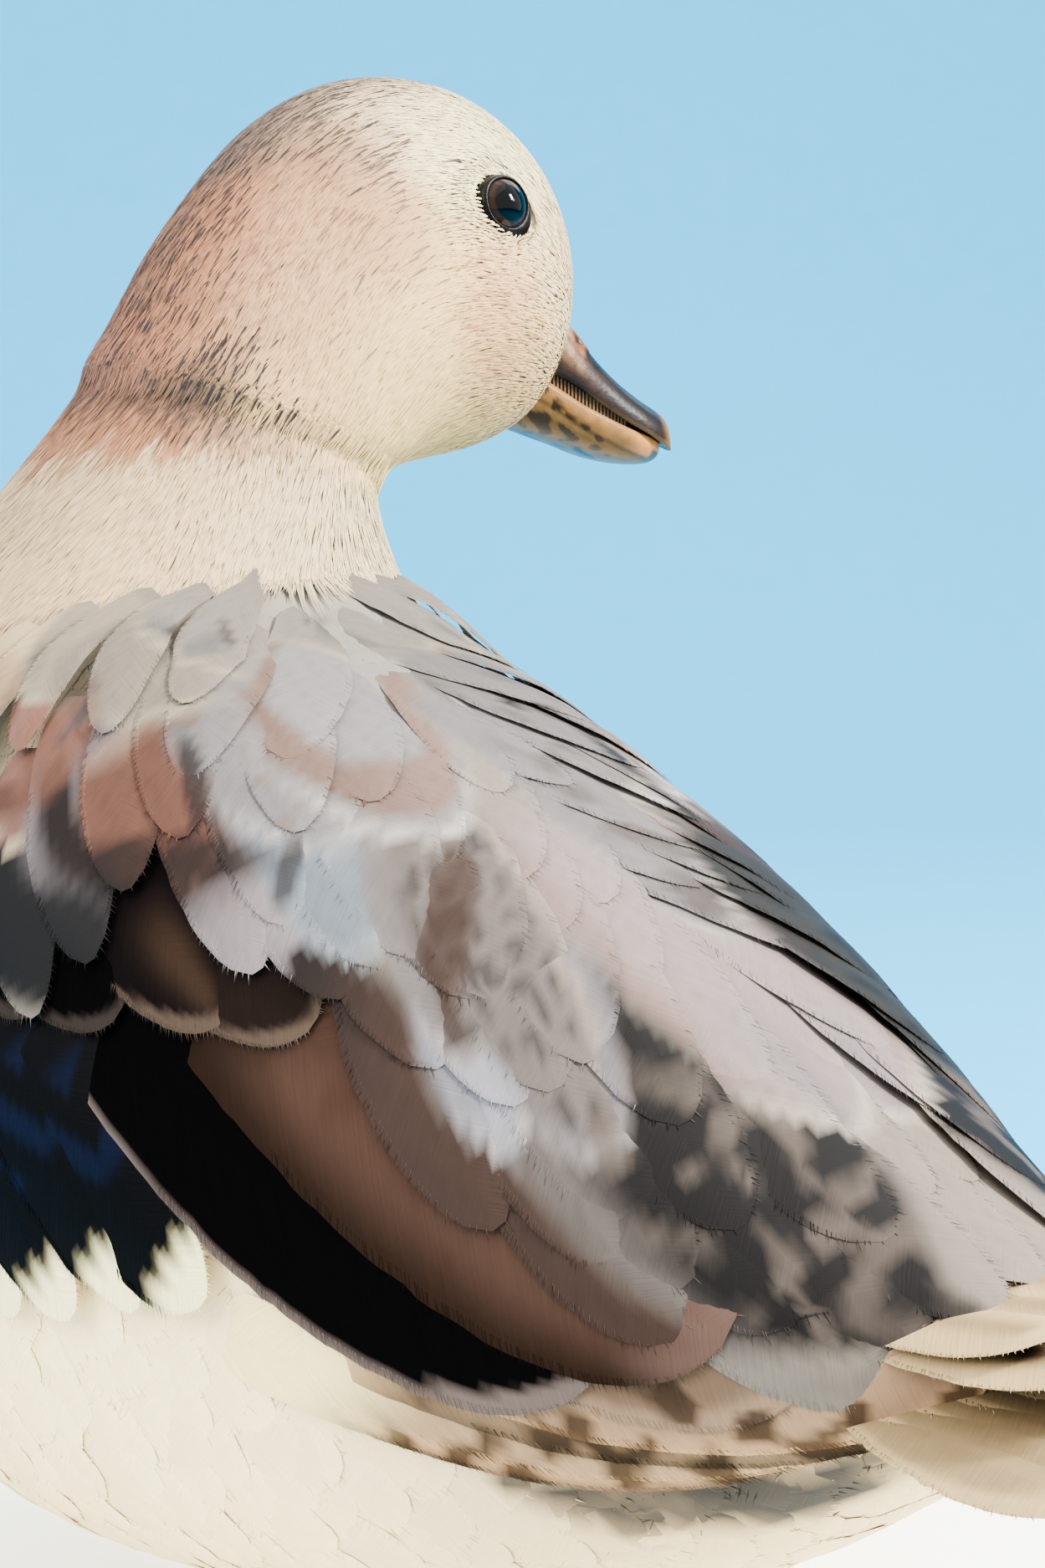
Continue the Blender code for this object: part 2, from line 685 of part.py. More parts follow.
def wing_pad(name, side):
    """The arm and hand of the folded wing as one shallow pad, sunk a little into the body."""
    around, rows = 18, 3

    def spot(out, turn, lift):
        reach = PAD_FRONT if math.cos(turn) > 0 else PAD_BACK
        station = PAD_MIDDLE[0] + reach * out * math.cos(turn)
        angle = math.radians(PAD_MIDDLE[1] + PAD_SPREAD * out * math.sin(turn)) * side
        return over_body(station, angle, lift)

    outs = [math.sin(math.pi / 2 * (i + 1) / rows) for i in range(rows)]
    layers = [(out, PAD_RIM + PAD_HEIGHT * math.sqrt(1 - min(1.0, out * out))) for out in outs]
    layers += [(out, -PAD_EDGE - PAD_SUNK * (1 - out * out)) for out in reversed(outs)]
    points = [spot(out, 2 * math.pi * k / around, lift) for out, lift in layers for k in range(around)]
    faces = band_faces(len(layers), around)
    crown = len(points)
    points += [spot(0, 0, PAD_RIM + PAD_HEIGHT), spot(0, 0, -PAD_EDGE - PAD_SUNK)]
    last = (len(layers) - 1) * around
    for k in range(around):
        n = (k + 1) % around
        faces.append((crown, k, n))
        faces.append((crown + 1, last + k, last + n))
    return mesh_object(name, points, faces, "wing_plumage")


def make_wing(name, side, torso, tail_core):
    wing = wing_pad(name, side)
    vanes = []
    for count, root_a, root_b, tip_a, tip_b, low, high, half, tilt in WING_ROWS.values():
        for i in range(count):
            t = i / (count - 1)
            root = [a + (b - a) * t for a, b in zip(root_a, root_b)]
            tip = [a + (b - a) * t for a, b in zip(tip_a, tip_b)]
            vanes.append(wing_vane(root, tip, (low, high), half, side, tilt))
    join(wing, vanes)
    return cut(wing, [swollen(torso, CLEAR), swollen(tail_core, CLEAR)])


def make_tail_core():
    """The fleshy root of the tail with its short feathers, which the fan grows from."""
    rings = [body_ring(TAIL_BASE - i / 2) for i in range(2 * TAIL_BASE + 1)]
    back = plane_normal(rings[0])
    back = back if back.y > 0 else -back
    rings[0] = shifted(rings[0], back, GAP)
    return loft("tail", rings, "tail_plumage")


def make_tail(core):
    """The fan of tail feathers, each outer pair lying under the last, with coverts over and under it."""
    vanes = []
    for i in range(TAIL_VANES):
        across = 2 * i / (TAIL_VANES - 1) - 1
        drop = TAIL_STEP * (TAIL_VANES / 2) * abs(across)
        length = TAIL_LENGTH * (1 - TAIL_ROUNDED * across**2)
        vanes.append(tail_vane(across, length, TAIL_HALF, -drop, TAIL_SPREAD))
    for i in range(COVERTS):
        across = 2 * i / (COVERTS - 1) - 1
        length = COVERT_LENGTH - COVERT_SHORTER * abs(across)
        for lift in (COVERT_OVER - COVERT_ARCH * abs(across), COVERT_UNDER + COVERT_ARCH * abs(across)):
            vanes.append(tail_vane(across, length, COVERT_HALF, lift, TAIL_SPREAD * 0.5))
    return join(core, vanes)


def tail_vane(across, length, half, lift, spread):
    """A feather of the fan. It turns aside with its place across the fan, and curls up to its tip."""
    turn = spread * across
    direction = Vector((math.sin(turn), math.cos(turn), math.sin(TAIL_RISE)))
    start = TAIL_ROOT + Vector((TAIL_ROOT_HALF * across, 0, lift))
    lean = Vector((math.sin(across * TAIL_LEAN), 0, math.cos(across * TAIL_LEAN)))
    side = direction.cross(lean).normalized()
    stops = (0.0, 0.5, 0.84, 1.0)
    path = [start + direction * length * t + Vector((0, 0, TAIL_CURL * t * t)) for t in stops]
    widths = [half * feather_width(t, TAIL_BLUNT) for t in stops]
    sides, normals = [side] * len(stops), [side.cross(direction).normalized()] * len(stops)
    return vane(path, sides, normals, widths, "tail_plumage", 0.0, TAIL_CAMBER)


def column(name, spots, radii, finish, around, deeper):
    """An upright limb with level rings, deeper from front to back."""
    rings = []
    for spot, radius in zip(spots, radii):
        ring = []
        for k in range(around):
            a = 2 * math.pi * k / around
            ring.append(spot + Vector((radius * math.cos(a), radius * deeper * math.sin(a), 0)))
        rings.append(ring)
    return loft(name, rings, finish)


def tube(name, spots, radii, finish, around, floor=None):
    """A tapered tube through spots, with upright sections that are flattened at a floor height."""
    rings = []
    for i, (p, r) in enumerate(zip(spots, radii)):
        ahead = (spots[min(i + 1, len(spots) - 1)] - spots[max(i - 1, 0)]).normalized()
        side = ahead.cross(Vector((0, 0, 1))).normalized()
        up = side.cross(ahead).normalized()
        ring = []
        for k in range(around):
            a = 2 * math.pi * k / around
            q = p + side * r * math.cos(a) + up * r * math.sin(a)
            if floor is not None:
                q.z = max(q.z, floor)
            ring.append(q)
        rings.append(ring)
    return loft(name, rings, finish)


def make_leg(label, side, torso):
    def at(height, behind, out=0.0):
        return Vector(((LEG_X + out) * side, LEG_Y + behind, height))

    spots = [at(height, behind, out) for height, behind, out, _ in THIGH_STATIONS]
    radii = [row[3] for row in THIGH_STATIONS]
    thigh = column("thigh_" + label, spots, radii, "body_plumage", 16, THIGH_DEEPER)
    cut(thigh, [swollen(torso, CLEAR)])
    spots = [at(height, behind) for height, behind, _ in SHANK_STATIONS]
    radii = [row[2] for row in SHANK_STATIONS]
    column("shank_" + label, spots, radii, "leg_skin", 12, SHANK_DEEPER)
    make_foot(label, side, at(ANKLE - GAP, ANKLE_BACK))


def toe_direction(side, degrees):
    turn = math.radians((degrees - TOE_TURN) * side)
    return Vector((-math.sin(turn), -math.cos(turn), 0))


def make_foot(label, side, ankle):
    joint = Vector((LEG_X * side, LEG_Y, SOLE))
    ball_of_foot = joint + Vector((0, -0.001, 0))
    spots = (ankle, ankle.lerp(joint, 0.45), ball_of_foot + Vector((0, 0, 0.0018)), ball_of_foot)
    foot = column("foot_" + label, spots, (0.0036, 0.0040, 0.0047, 0.0040), "leg_skin", 12, HEEL_DEEPER)
    pieces = []
    for name, degrees, length, root, tip in TOES:
        direction = toe_direction(side, degrees)
        radii = [(root + (tip - root) * t) * swell for t, swell in TOE_SWELL]
        spots = [
            joint + direction * length * t + Vector((0, 0, r * TOE_SUNK))
            for (t, _), r in zip(TOE_SWELL, radii)
        ]
        pieces.append(tube("toe", spots, radii, "leg_skin", 10, SOLE))
        start = spots[-1] + direction * GAP
        claw(f"claw_{label}_{name}", start, direction, CLAW_LENGTH, radii[-1] * CLAW_SHARE)
    pieces.append(web(joint, side, TOES[0], TOES[1]))
    pieces.append(web(joint, side, TOES[1], TOES[2]))
    back = toe_direction(side, HIND_TURN)
    hind = [joint + back * distance + Vector((0, 0, height)) for distance, height, _ in HIND_STATIONS]
    pieces.append(tube("hind", hind, [row[2] for row in HIND_STATIONS], "leg_skin", 8))
    slope = (hind[-1] - hind[-2]).normalized()
    claw(f"claw_{label}_hind", hind[-1] + slope * GAP, slope, HIND_CLAW_LENGTH, HIND_CLAW_RADIUS)
    join(foot, pieces)


def claw(name, start, direction, length, radius):
    """A short claw that curves down to a blunt point and stays clear of the floor."""
    spots = [
        start + direction * length * t - Vector((0, 0, radius * CLAW_HOOK * t)) for t, _ in CLAW_TAPER
    ]
    return tube(name, spots, [radius * share for _, share in CLAW_TAPER], "claw_horn", 6, CLAW_FLOOR)


def web(joint, side, first, second):
    """The skin between two toes, with its front edge drawn in."""
    across, along = 4, 4
    points = []
    for layer in (WEB_LOW, WEB_LOW + WEB_THICK):
        for i in range(along + 1):
            t = 0.12 + 0.88 * i / along
            for j in range(across + 1):
                u = j / across
                degrees = first[1] + (second[1] - first[1]) * u
                reach = WEB_REACH * (first[2] + (second[2] - first[2]) * u)
                reach *= 1 - WEB_DRAWN * math.sin(math.pi * u)
                points.append(joint + toe_direction(side, degrees) * reach * t + Vector((0, 0, layer)))
    row = across + 1
    upper = row * (along + 1)
    faces = []
    for i in range(along):
        for j in range(across):
            a = i * row + j
            faces.append((a, a + 1, a + row + 1, a + row))
            faces.append((upper + a, upper + a + row, upper + a + row + 1, upper + a + 1))
    edge = list(range(row)) + [i * row + across for i in range(1, along + 1)]
    edge += [along * row + j for j in range(across - 1, -1, -1)]
    edge += [i * row for i in range(along - 1, 0, -1)]
    for a, b in zip(edge, edge[1:] + edge[:1]):
        faces.append((a, b, b + upper, a + upper))
    return mesh_object("web", points, faces, "leg_skin")


def stand_whole_figure():
    """Parents every piece to one empty, which sets the figure over the origin."""
    root = bpy.data.objects.new("figure", None)
    bpy.context.scene.collection.objects.link(root)
    for piece in list(bpy.context.scene.collection.objects):
        if piece.type == "MESH":
            piece.parent = root
    root.location = BODY_SHIFT


def main():
    clear_scene()
    torso = make_torso()
    make_neck()
    head = make_head()
    make_bills(head)
    core = make_tail_core()
    make_wing("wing_left", 1, torso, core)
    make_wing("wing_right", -1, torso, core)
    make_tail(core)
    make_leg("left", 1, torso)
    make_leg("right", -1, torso)
    stand_whole_figure()


main()
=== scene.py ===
# %% [markdown]
# A bantam call duck hen, life size, standing with her head turned over her right shoulder.
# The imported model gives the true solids: body, neck, head, bill, wings, tail and legs. This lesson
# dresses them. It lays a skin just under the solids' surface and covers it with plumage, made as
# arrays of small closed meshes, because arrays are quick and every feather can follow its own rule.

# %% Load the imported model
import math

import bpy
import numpy as np
from mathutils import Matrix, Vector


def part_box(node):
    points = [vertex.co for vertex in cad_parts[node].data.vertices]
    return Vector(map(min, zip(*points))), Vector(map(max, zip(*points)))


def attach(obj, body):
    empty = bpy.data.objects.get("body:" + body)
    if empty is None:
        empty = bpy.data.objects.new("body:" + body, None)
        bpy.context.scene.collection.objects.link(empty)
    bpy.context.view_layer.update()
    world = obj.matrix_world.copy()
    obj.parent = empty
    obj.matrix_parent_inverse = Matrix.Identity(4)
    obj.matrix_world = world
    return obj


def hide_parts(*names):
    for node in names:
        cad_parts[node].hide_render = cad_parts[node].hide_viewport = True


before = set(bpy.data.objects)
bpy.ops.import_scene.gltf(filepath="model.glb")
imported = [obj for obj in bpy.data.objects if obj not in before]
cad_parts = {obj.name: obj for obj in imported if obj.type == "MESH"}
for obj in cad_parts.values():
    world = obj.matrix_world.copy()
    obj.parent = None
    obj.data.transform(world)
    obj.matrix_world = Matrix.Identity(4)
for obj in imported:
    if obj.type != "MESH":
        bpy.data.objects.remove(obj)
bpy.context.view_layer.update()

# %% [markdown]
# The photo was taken from behind her left side, about level with her head, with a long lens. Placing
# the camera from the eye is the simplest exact way: the eye's pixel, its distance and two angles
# leave nothing else to choose.

# %% Camera
# The photo's frame, the lens in mm, and the view. The eye's front is at this pixel, this many metres
# from the camera, and stands out from the middle of the eyeball.
IMAGE_SIZE = (1249, 1874)
SENSOR = 36.0
LENS = 60.8
VIEW_YAW = math.radians(-135)
VIEW_PITCH = math.radians(8)
EYE_PIXEL = (605, 247)
EYE_AWAY = 0.392
EYE_FRONT = 0.004
HEAD_TURN = math.radians(105)
UP = np.array((0.0, 0.0, 1.0))
FORWARD = np.array((-math.sin(HEAD_TURN), -math.cos(HEAD_TURN), 0.0))
RIGHT = np.cross(FORWARD, UP)


def middle(node):
    low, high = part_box(node)
    return np.array((low + high) / 2)


def place_camera():
    look = Vector((math.cos(VIEW_YAW) * math.cos(VIEW_PITCH),
                   math.sin(VIEW_YAW) * math.cos(VIEW_PITCH), -math.sin(VIEW_PITCH)))
    aside = look.cross(Vector(UP)).normalized()
    above = aside.cross(look)
    per_pixel = SENSOR / LENS / IMAGE_SIZE[1]
    x = (EYE_PIXEL[0] - IMAGE_SIZE[0] / 2) * per_pixel
    y = (IMAGE_SIZE[1] / 2 - EYE_PIXEL[1]) * per_pixel
    eye = Vector(middle("eye_right") + RIGHT * EYE_FRONT)
    data = bpy.data.cameras.new("camera")
    data.lens, data.sensor_width = LENS, SENSOR
    data.clip_start, data.clip_end = 0.01, 20
    camera = bpy.data.objects.new("camera", data)
    bpy.context.scene.collection.objects.link(camera)
    turn = Matrix((aside, above, -look)).transposed().to_4x4()
    camera.matrix_world = Matrix.Translation(eye - (look + aside * x + above * y) * EYE_AWAY) @ turn
    bpy.context.scene.camera = camera
    return camera


camera = place_camera()
print("camera at", [round(v, 3) for v in camera.location])

# %% [markdown]
# The body, neck and head are one surface. It is written as a net: a row number that runs from the
# tail coverts to the root of the bill, and an angle round her. Every feather then has an address
# on the net, and the same address gives its place, its lie, its colour and its patch of the bake map.

# %% Stations of the body and head
# The tables are written about the bird's own middle; this shift takes them to the solids' frame
TORSO_REAR = 0.096
SHIFT = np.array((middle("torso")[0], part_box("torso")[1].y - TORSO_REAR, 0.0))
# Back point (y, z), belly point (y, z), half width and squareness of the body's stations
BODY_STATIONS = (
    (0.122, 0.0940, 0.121, 0.0820, 0.0150, 1.00),
    (0.109, 0.1000, 0.108, 0.0700, 0.0230, 1.00),
    (0.096, 0.1065, 0.094, 0.0590, 0.0308, 1.00),
    (0.080, 0.1160, 0.077, 0.0485, 0.0395, 0.97),
    (0.060, 0.1285, 0.057, 0.0400, 0.0472, 0.94),
    (0.037, 0.1412, 0.034, 0.0340, 0.0530, 0.92),
    (0.014, 0.1525, 0.008, 0.0300, 0.0562, 0.90),
    (-0.001, 0.1590, -0.022, 0.0270, 0.0574, 0.89),
    (-0.006, 0.1630, -0.053, 0.0320, 0.0568, 0.89),
    (-0.0085, 0.1655, -0.083, 0.0550, 0.0548, 0.90),
    (-0.0095, 0.1670, -0.0985, 0.0930, 0.0508, 0.92),
    (-0.0100, 0.1680, -0.0975, 0.1390, 0.0445, 0.95),
)
# Forward and up of the nape or crown, then of the throat or chin, and the half width
HEAD_STATIONS = (
    (-0.0520, -0.0190, 0.0000, -0.0365, 0.0262),
    (-0.0460, -0.0100, 0.0020, -0.0362, 0.0264),
    (-0.0395, 0.0010, 0.0038, -0.0356, 0.0268),
    (-0.0312, 0.0122, 0.0055, -0.0352, 0.0272),
    (-0.0215, 0.0228, 0.0075, -0.0348, 0.0275),
    (-0.0100, 0.0300, 0.0102, -0.0343, 0.0273),
    (0.0025, 0.0326, 0.0135, -0.0337, 0.0267),
    (0.0152, 0.0308, 0.0172, -0.0330, 0.0254),
    (0.0262, 0.0244, 0.0216, -0.0316, 0.0228),
    (0.0334, 0.0150, 0.0260, -0.0297, 0.0187),
    (0.0368, 0.0048, 0.0290, -0.0275, 0.0140),
    (0.0380, -0.0045, 0.0308, -0.0252, 0.0092),
)
# Where she is widest between back and belly, and how much fuller the flank is than the back
WIDEST = 0.52
FULL_FLANK = 0.10
HEAD_SIZE = 0.87
HEAD_CENTRE = np.array((-0.034, -0.035, 0.214)) + SHIFT
# The collar is drawn in under the head, and the neck narrows towards it by this power
COLLAR_STEP = 0.0016
NECK_NARROWS = 1.15
COLLAR_NOTCHES = 24
NECK_BASE, COLLAR, BILL_ROOT = 11, 17, 28
TURN = 2 * math.pi
PER_STATION, COLUMNS = 14, 256
ROWS = BILL_ROOT * PER_STATION + 1
JOINT_SOFTENING = 6
print("stations:", len(BODY_STATIONS), "of the body,", len(HEAD_STATIONS), "of the head")

# %% [markdown]
# A dozen sections are not yet a surface. Blender could skin rings of curves, but a formula gives the
# exact place, direction and size of a step at every address, and the feathers need all three.

# %% Surfaces of body and head


def between(rows, at):
    """A table's rows at fractional row numbers, on a Catmull-Rom curve, for a whole array."""
    rows = np.asarray(rows, float)
    last = len(rows) - 1
    at = np.clip(np.asarray(at, float), 0, last)
    i = np.minimum(at.astype(int), last - 1)
    t = (at - i)[..., None]
    rows = np.vstack((2 * rows[0] - rows[1], rows, 2 * rows[-1] - rows[-2]))
    a, b, c, d = (rows[i + k] for k in range(4))
    return 0.5 * (2 * b + (c - a) * t + (2 * a - 5 * b + 4 * c - d) * t**2 + (3 * b - a - 3 * c + d) * t**3)


def body_surface(station, angle):
    row = between(BODY_STATIONS, station)
    back, belly, half, square = row[..., 0:2], row[..., 2:4], row[..., 4], row[..., 5]
    rise, aside = np.cos(angle), np.sin(angle)
    square = np.where(rise > 0, square, square - FULL_FLANK)
    centre = back + (belly - back) * WIDEST
    end = np.where((rise > 0)[..., None], back, belly)
    yz = centre + (end - centre) * (np.abs(rise) ** square)[..., None]
    x = half * np.sign(aside) * np.abs(aside) ** square
    return np.concatenate((x[..., None], yz), -1) + SHIFT


def head_place(f, side, z):
    f, side, z = (np.asarray(v, float)[..., None] for v in (f, side, z))
    return HEAD_CENTRE + (FORWARD * f + RIGHT * side + UP * z) * HEAD_SIZE


def head_surface(station, angle):
    row = between(HEAD_STATIONS, station)
    outer, inner, half = row[..., 0:2], row[..., 2:4], row[..., 4]
    centre = outer + (inner - outer) * WIDEST
    end = np.where((np.cos(angle) > 0)[..., None], outer, inner)
    fz = centre + (end - centre) * np.abs(np.cos(angle))[..., None]
    return head_place(fz[..., 0], half * np.sin(angle) / HEAD_SIZE, fz[..., 1])

# %% The net


def make_net():
    """Points of the whole net, row by row, and the head's own angle at the net's angle 0."""
    around = np.arange(COLUMNS) * TURN / COLUMNS
    collar = head_surface(np.zeros(COLUMNS), around)
    out = collar - collar.mean(0)
    start = around[np.argmax(out[:, 1] / np.linalg.norm(out, axis=1))]
    start = round(start / (TURN / COLLAR_NOTCHES)) * TURN / COLLAR_NOTCHES
    points = np.empty((ROWS, COLUMNS, 3))
    base = body_surface(np.full(COLUMNS, NECK_BASE), around)
    collar = head_surface(np.zeros(COLUMNS), start - around)
    out = collar - collar.mean(0)
    collar = collar - out / np.linalg.norm(out, axis=1, keepdims=True) * COLLAR_STEP
    for i in range(ROWS):
        u = i / PER_STATION
        if u <= NECK_BASE:
            points[i] = body_surface(np.full(COLUMNS, u), around)
        elif u < COLLAR:
            t = (u - NECK_BASE) / (COLLAR - NECK_BASE)
            narrow = 1 - (1 - t) ** NECK_NARROWS
            low, high = base - base.mean(0), collar - collar.mean(0)
            centre = base.mean(0) * (1 - t) + collar.mean(0) * t
            points[i] = centre + low * (1 - narrow) + high * narrow
        else:
            points[i] = head_surface(np.full(COLUMNS, u - COLLAR), start - around)
    for _ in range(JOINT_SOFTENING):
        points[1:-1] = (points[:-2] + 2 * points[1:-1] + points[2:]) / 4
    return points, start


NET, HEAD_START = make_net()
ALONG = np.gradient(NET, 1 / PER_STATION, axis=0)
AROUND = (np.roll(NET, -1, 1) - np.roll(NET, 1, 1)) / (2 * TURN / COLUMNS)
NORMALS = np.cross(AROUND, ALONG)
NORMALS /= np.linalg.norm(NORMALS, axis=2, keepdims=True)
# A normal on the back has to point up, and the others with it
NORMALS *= np.sign(NORMALS[5 * PER_STATION, 0, 2])
SPEED = np.stack((np.linalg.norm(ALONG, axis=2), np.linalg.norm(AROUND, axis=2)), -1)


def sample(grid, u, v):
    x = np.clip(u * PER_STATION, 0, ROWS - 1.001)
    y = (v / TURN % 1.0) * COLUMNS
    i, j = x.astype(int), y.astype(int) % COLUMNS
    a, b = (x - i)[..., None], (y % COLUMNS - j)[..., None]
    n = (j + 1) % COLUMNS
    near, far = grid[i, j] * (1 - b) + grid[i, n] * b, grid[i + 1, j] * (1 - b) + grid[i + 1, n] * b
    return near * (1 - a) + far * a


area = (SPEED[..., 0] * SPEED[..., 1]).mean(1) * TURN / PER_STATION
print("skin, square cm: body", round(area[: 11 * PER_STATION].sum() * 1e4),
      "neck", round(area[11 * PER_STATION: 17 * PER_STATION].sum() * 1e4),
      "head", round(area[17 * PER_STATION:].sum() * 1e4))

# %% [markdown]
# Colour first: plumage is keratin with melanin in it, and in this hen it goes from cream to brown
# and black. Each tone is kept as a hex value, as it looks in the studio, with the place on the bird
# where it is purest, and a feather mixes the tones round its root by distance. An image would do it
# too, but this keeps the pattern on the bird and as sharp as the feathers are, from any side.

# %% Pigments


def linear(hex_value):
    parts = (int(hex_value[i:i + 2], 16) / 255 for i in (1, 3, 5))
    return np.array([v / 12.92 if v <= 0.04045 else ((v + 0.055) / 1.055) ** 2.4 for v in parts])


# A bright, soft studio light lifts the mid tones, so the pigment under it is deeper than it seems.
TONE_SHARE, TONE_SHOULDER, SHOULDER_POWER, PALEST = 0.26, np.array((2.05, 2.45, 2.2)), 5.1, 0.88


def pigment(seen):
    """The pigment that shows as this tone under the studio light."""
    tone = linear(seen)
    return np.clip(TONE_SHARE * tone + TONE_SHOULDER * tone**SHOULDER_POWER, 0.0, PALEST)


def touched(colour, tone, amount):
    return colour + (tone - colour) * np.asarray(amount)[..., None]


for seen in ("#ffffff", "#808080"):
    print("pigment that shows as", seen, np.round(pigment(seen), 3).tolist())

# %% Where each tone is purest
# Places on the head in mm: forward, aside and up in its own frame; reach in mm; tone
HEAD_TONES = (
    ("forehead", 18, 17, 22, 9, "#e3ded0"),
    ("brow", 13, 24, 17, 7, "#e8e1d4"),
    ("lore", 24, 24, 0, 7, "#e4dacb"),
    ("buff_cheek", 15, 28, -7, 6, "#e4ceb2"),
    ("bill_edge", 18, 25, -16, 5, "#e2d1b4"),
    ("cheek", -2, 31, -10, 9, "#e7dac2"),
    ("jaw", -4, 27, -23, 8, "#e8dcc4"),
    ("chin", -4, 18, -34, 8, "#e6dabc"),
    ("crown_side", 1, 18, 25, 7, "#e2d9ce"),
    ("crown", -1, 3, 32, 8, "#cdbfb1"),
    ("crown_streak", -10, 20, 20, 5, "#cdb292"),
    ("ear", -8, 29, 6, 6, "#d8c0a0"),
    ("mid_head", -23, 26, 0, 9, "#dfcdb8"),
    ("side", -23, 30, -17, 8, "#e2d0b8"),
    ("nape_top", -17, 0, 26, 7, "#bda792"),
    ("nape_side", -32, 13, 6, 7, "#d6b48c"),
    ("nape_brown", -38, 12, -2, 8, "#d3ae84"),
    ("nape_line", -36, 1, 6, 7, "#b18e6a"),
    ("fold_knot", -37, 24, -18, 4, "#8a6248"),
    ("nape_low", -50, 5, -17, 7, "#c7a17d"),
    ("throat_side", -21, 30, -27, 8, "#e5d6c0"),
)
NECK_TONES = (("nape_side", 90, "#e3d6c5"), ("throat", 250, "#e8ded0"))
COLLAR_BROWN, COLLAR_TAN = pigment("#7f5536"), pigment("#d6b68c")
# Places on the body: station, degrees from the back, reach in stations and degrees, tone
BODY_TONES = (
    ("mantle_edge", 10.2, 0, 0.9, 45, "#c3bdb1"),
    ("mantle", 8.8, 12, 1.6, 26, "#bcb5a9"),
    ("back", 6.4, 0, 1.6, 24, "#b1aca8"),
    ("low_back", 4.2, 0, 1.4, 30, "#b3aaa4"),
    ("rump", 1.8, 0, 1.2, 50, "#cfc0aa"),
    ("rump_side", 2.2, 106, 1.2, 24, "#b39a7e"),
    ("shoulder", 9.8, 62, 1.2, 26, "#d9cdb8"),
    ("flank", 5.8, 110, 2.6, 26, "#e6dccc"),
    ("belly", 5.0, 180, 4.0, 44, "#e7ddce"),
    ("vent", 1.2, 160, 1.2, 50, "#dccdb2"),
    ("breast", 10.2, 180, 1.3, 62, "#dcc6a2"),
    ("throat_base", 11.2, 180, 0.6, 50, "#e6dccc"),
)
# A little of every tone is everywhere, so that no place is left without one
TONE_FLOOR = 1e-4
NECK_TONE_REACH = 80
# Rows under the head at which the collar's tan starts, how much lower at the nape, and its fade
TAN_BELOW, TAN_DROP, TAN_FADE = 0.35, 1.05, 0.5
# The tan's ragged edge: height in rows, waves round the neck, and where they start
RIPPLES = ((0.22, 23, 0), (0.16, 41, 1))
# The brown fold at the collar: its height and reach in rows, and its strength
FOLD_OVER, FOLD_REACH, FOLD_STRENGTH = 0.15, 0.28, 0.75
print("tones:", len(HEAD_TONES) + len(NECK_TONES) + len(BODY_TONES))

# %% The tone at an address


def head_frame(points):
    way = (points - HEAD_CENTRE) * 1000 / HEAD_SIZE
    return np.stack((way @ FORWARD, np.abs(way @ RIGHT), way @ UP), -1)


def blend_tones(weights, rows):
    weights = np.stack(weights, -1) + TONE_FLOOR
    colours = np.stack([pigment(row[-1]) for row in rows])
    return weights @ colours / weights.sum(-1, keepdims=True)


def smooth_step(value, low, high):
    t = np.clip((value - low) / (high - low), 0, 1)
    return t * t * (3 - 2 * t)


def angle_gap(a, b):
    return np.abs((a - b + 180) % 360 - 180)


def nearness(u, off_back, row):
    """1 at a row's place (station, degrees from the back), and less beyond its reaches."""
    station, degrees, long, wide = row[1:5]
    return np.exp(-0.5 * ((u - station) / long) ** 2 - 0.5 * ((off_back - degrees) / wide) ** 2)


def plumage(u, v):
    u, v = np.broadcast_arrays(np.asarray(u, float), np.asarray(v, float))
    degrees = np.degrees(v) % 360
    place = head_frame(sample(NET, u, v))
    head = blend_tones([np.exp(-((place - row[1:4]) ** 2).sum(-1) / (2 * row[4] ** 2)) for row in HEAD_TONES],
                       HEAD_TONES)
    neck = blend_tones([np.exp(-((angle_gap(degrees, row[1]) / NECK_TONE_REACH) ** 2)) for row in NECK_TONES],
                       NECK_TONES)
    off_back = angle_gap(degrees, 0)
    body = blend_tones([nearness(u, off_back, row) for row in BODY_TONES], BODY_TONES)
    collar = COLLAR - TAN_BELOW - TAN_DROP * np.clip(np.cos(v - HEAD_START), 0, 1)
    ripple = sum(high * np.sin(v * waves + first) for high, waves, first in RIPPLES)
    into_collar = np.clip((u - collar + ripple) / TAN_FADE, 0, 1)
    back_share = np.clip(0.35 + np.cos(v - HEAD_START), 0, 1)
    neck = touched(neck, touched(neck, COLLAR_TAN, back_share), into_collar)
    on_head = np.clip((u - COLLAR + 0.1) / 0.5, 0, 1)
    on_neck = np.clip((u - NECK_BASE - 0.2) / 0.8, 0, 1)
    tone = touched(touched(body, neck, on_neck), head, on_head)
    fold = np.exp(-((u - COLLAR - FOLD_OVER) / FOLD_REACH) ** 2) * back_share**0.8
    return touched(tone, COLLAR_BROWN, fold * FOLD_STRENGTH)


print("tone of the throat:", np.round(plumage(COLLAR - 2, HEAD_START + math.pi), 2).tolist())

# %% [markdown]
# Thousands of small solids have to become few objects. A pile collects their points, triangles,
# colours and bake patches as arrays, and is turned into one mesh at the end, far faster than one
# object each. The bake map gives each feather a patch where its root stands on the unrolled net.

# %% Piles of small meshes
BAKE_MARGIN = 0.01
PATCH = 0.0015


def bake_spot(u, v):
    """The address on the unrolled net, as a place in the bake map."""
    x = BAKE_MARGIN + (1 - 2 * BAKE_MARGIN) * np.asarray(u) / BILL_ROOT
    y = BAKE_MARGIN + (1 - 2 * BAKE_MARGIN) * (np.asarray(v) / TURN % 1.0)
    return np.stack((x, y), -1)


def new_pile():
    return {"points": [], "faces": [], "colour": [], "bake": [], "barb": [], "count": 0}


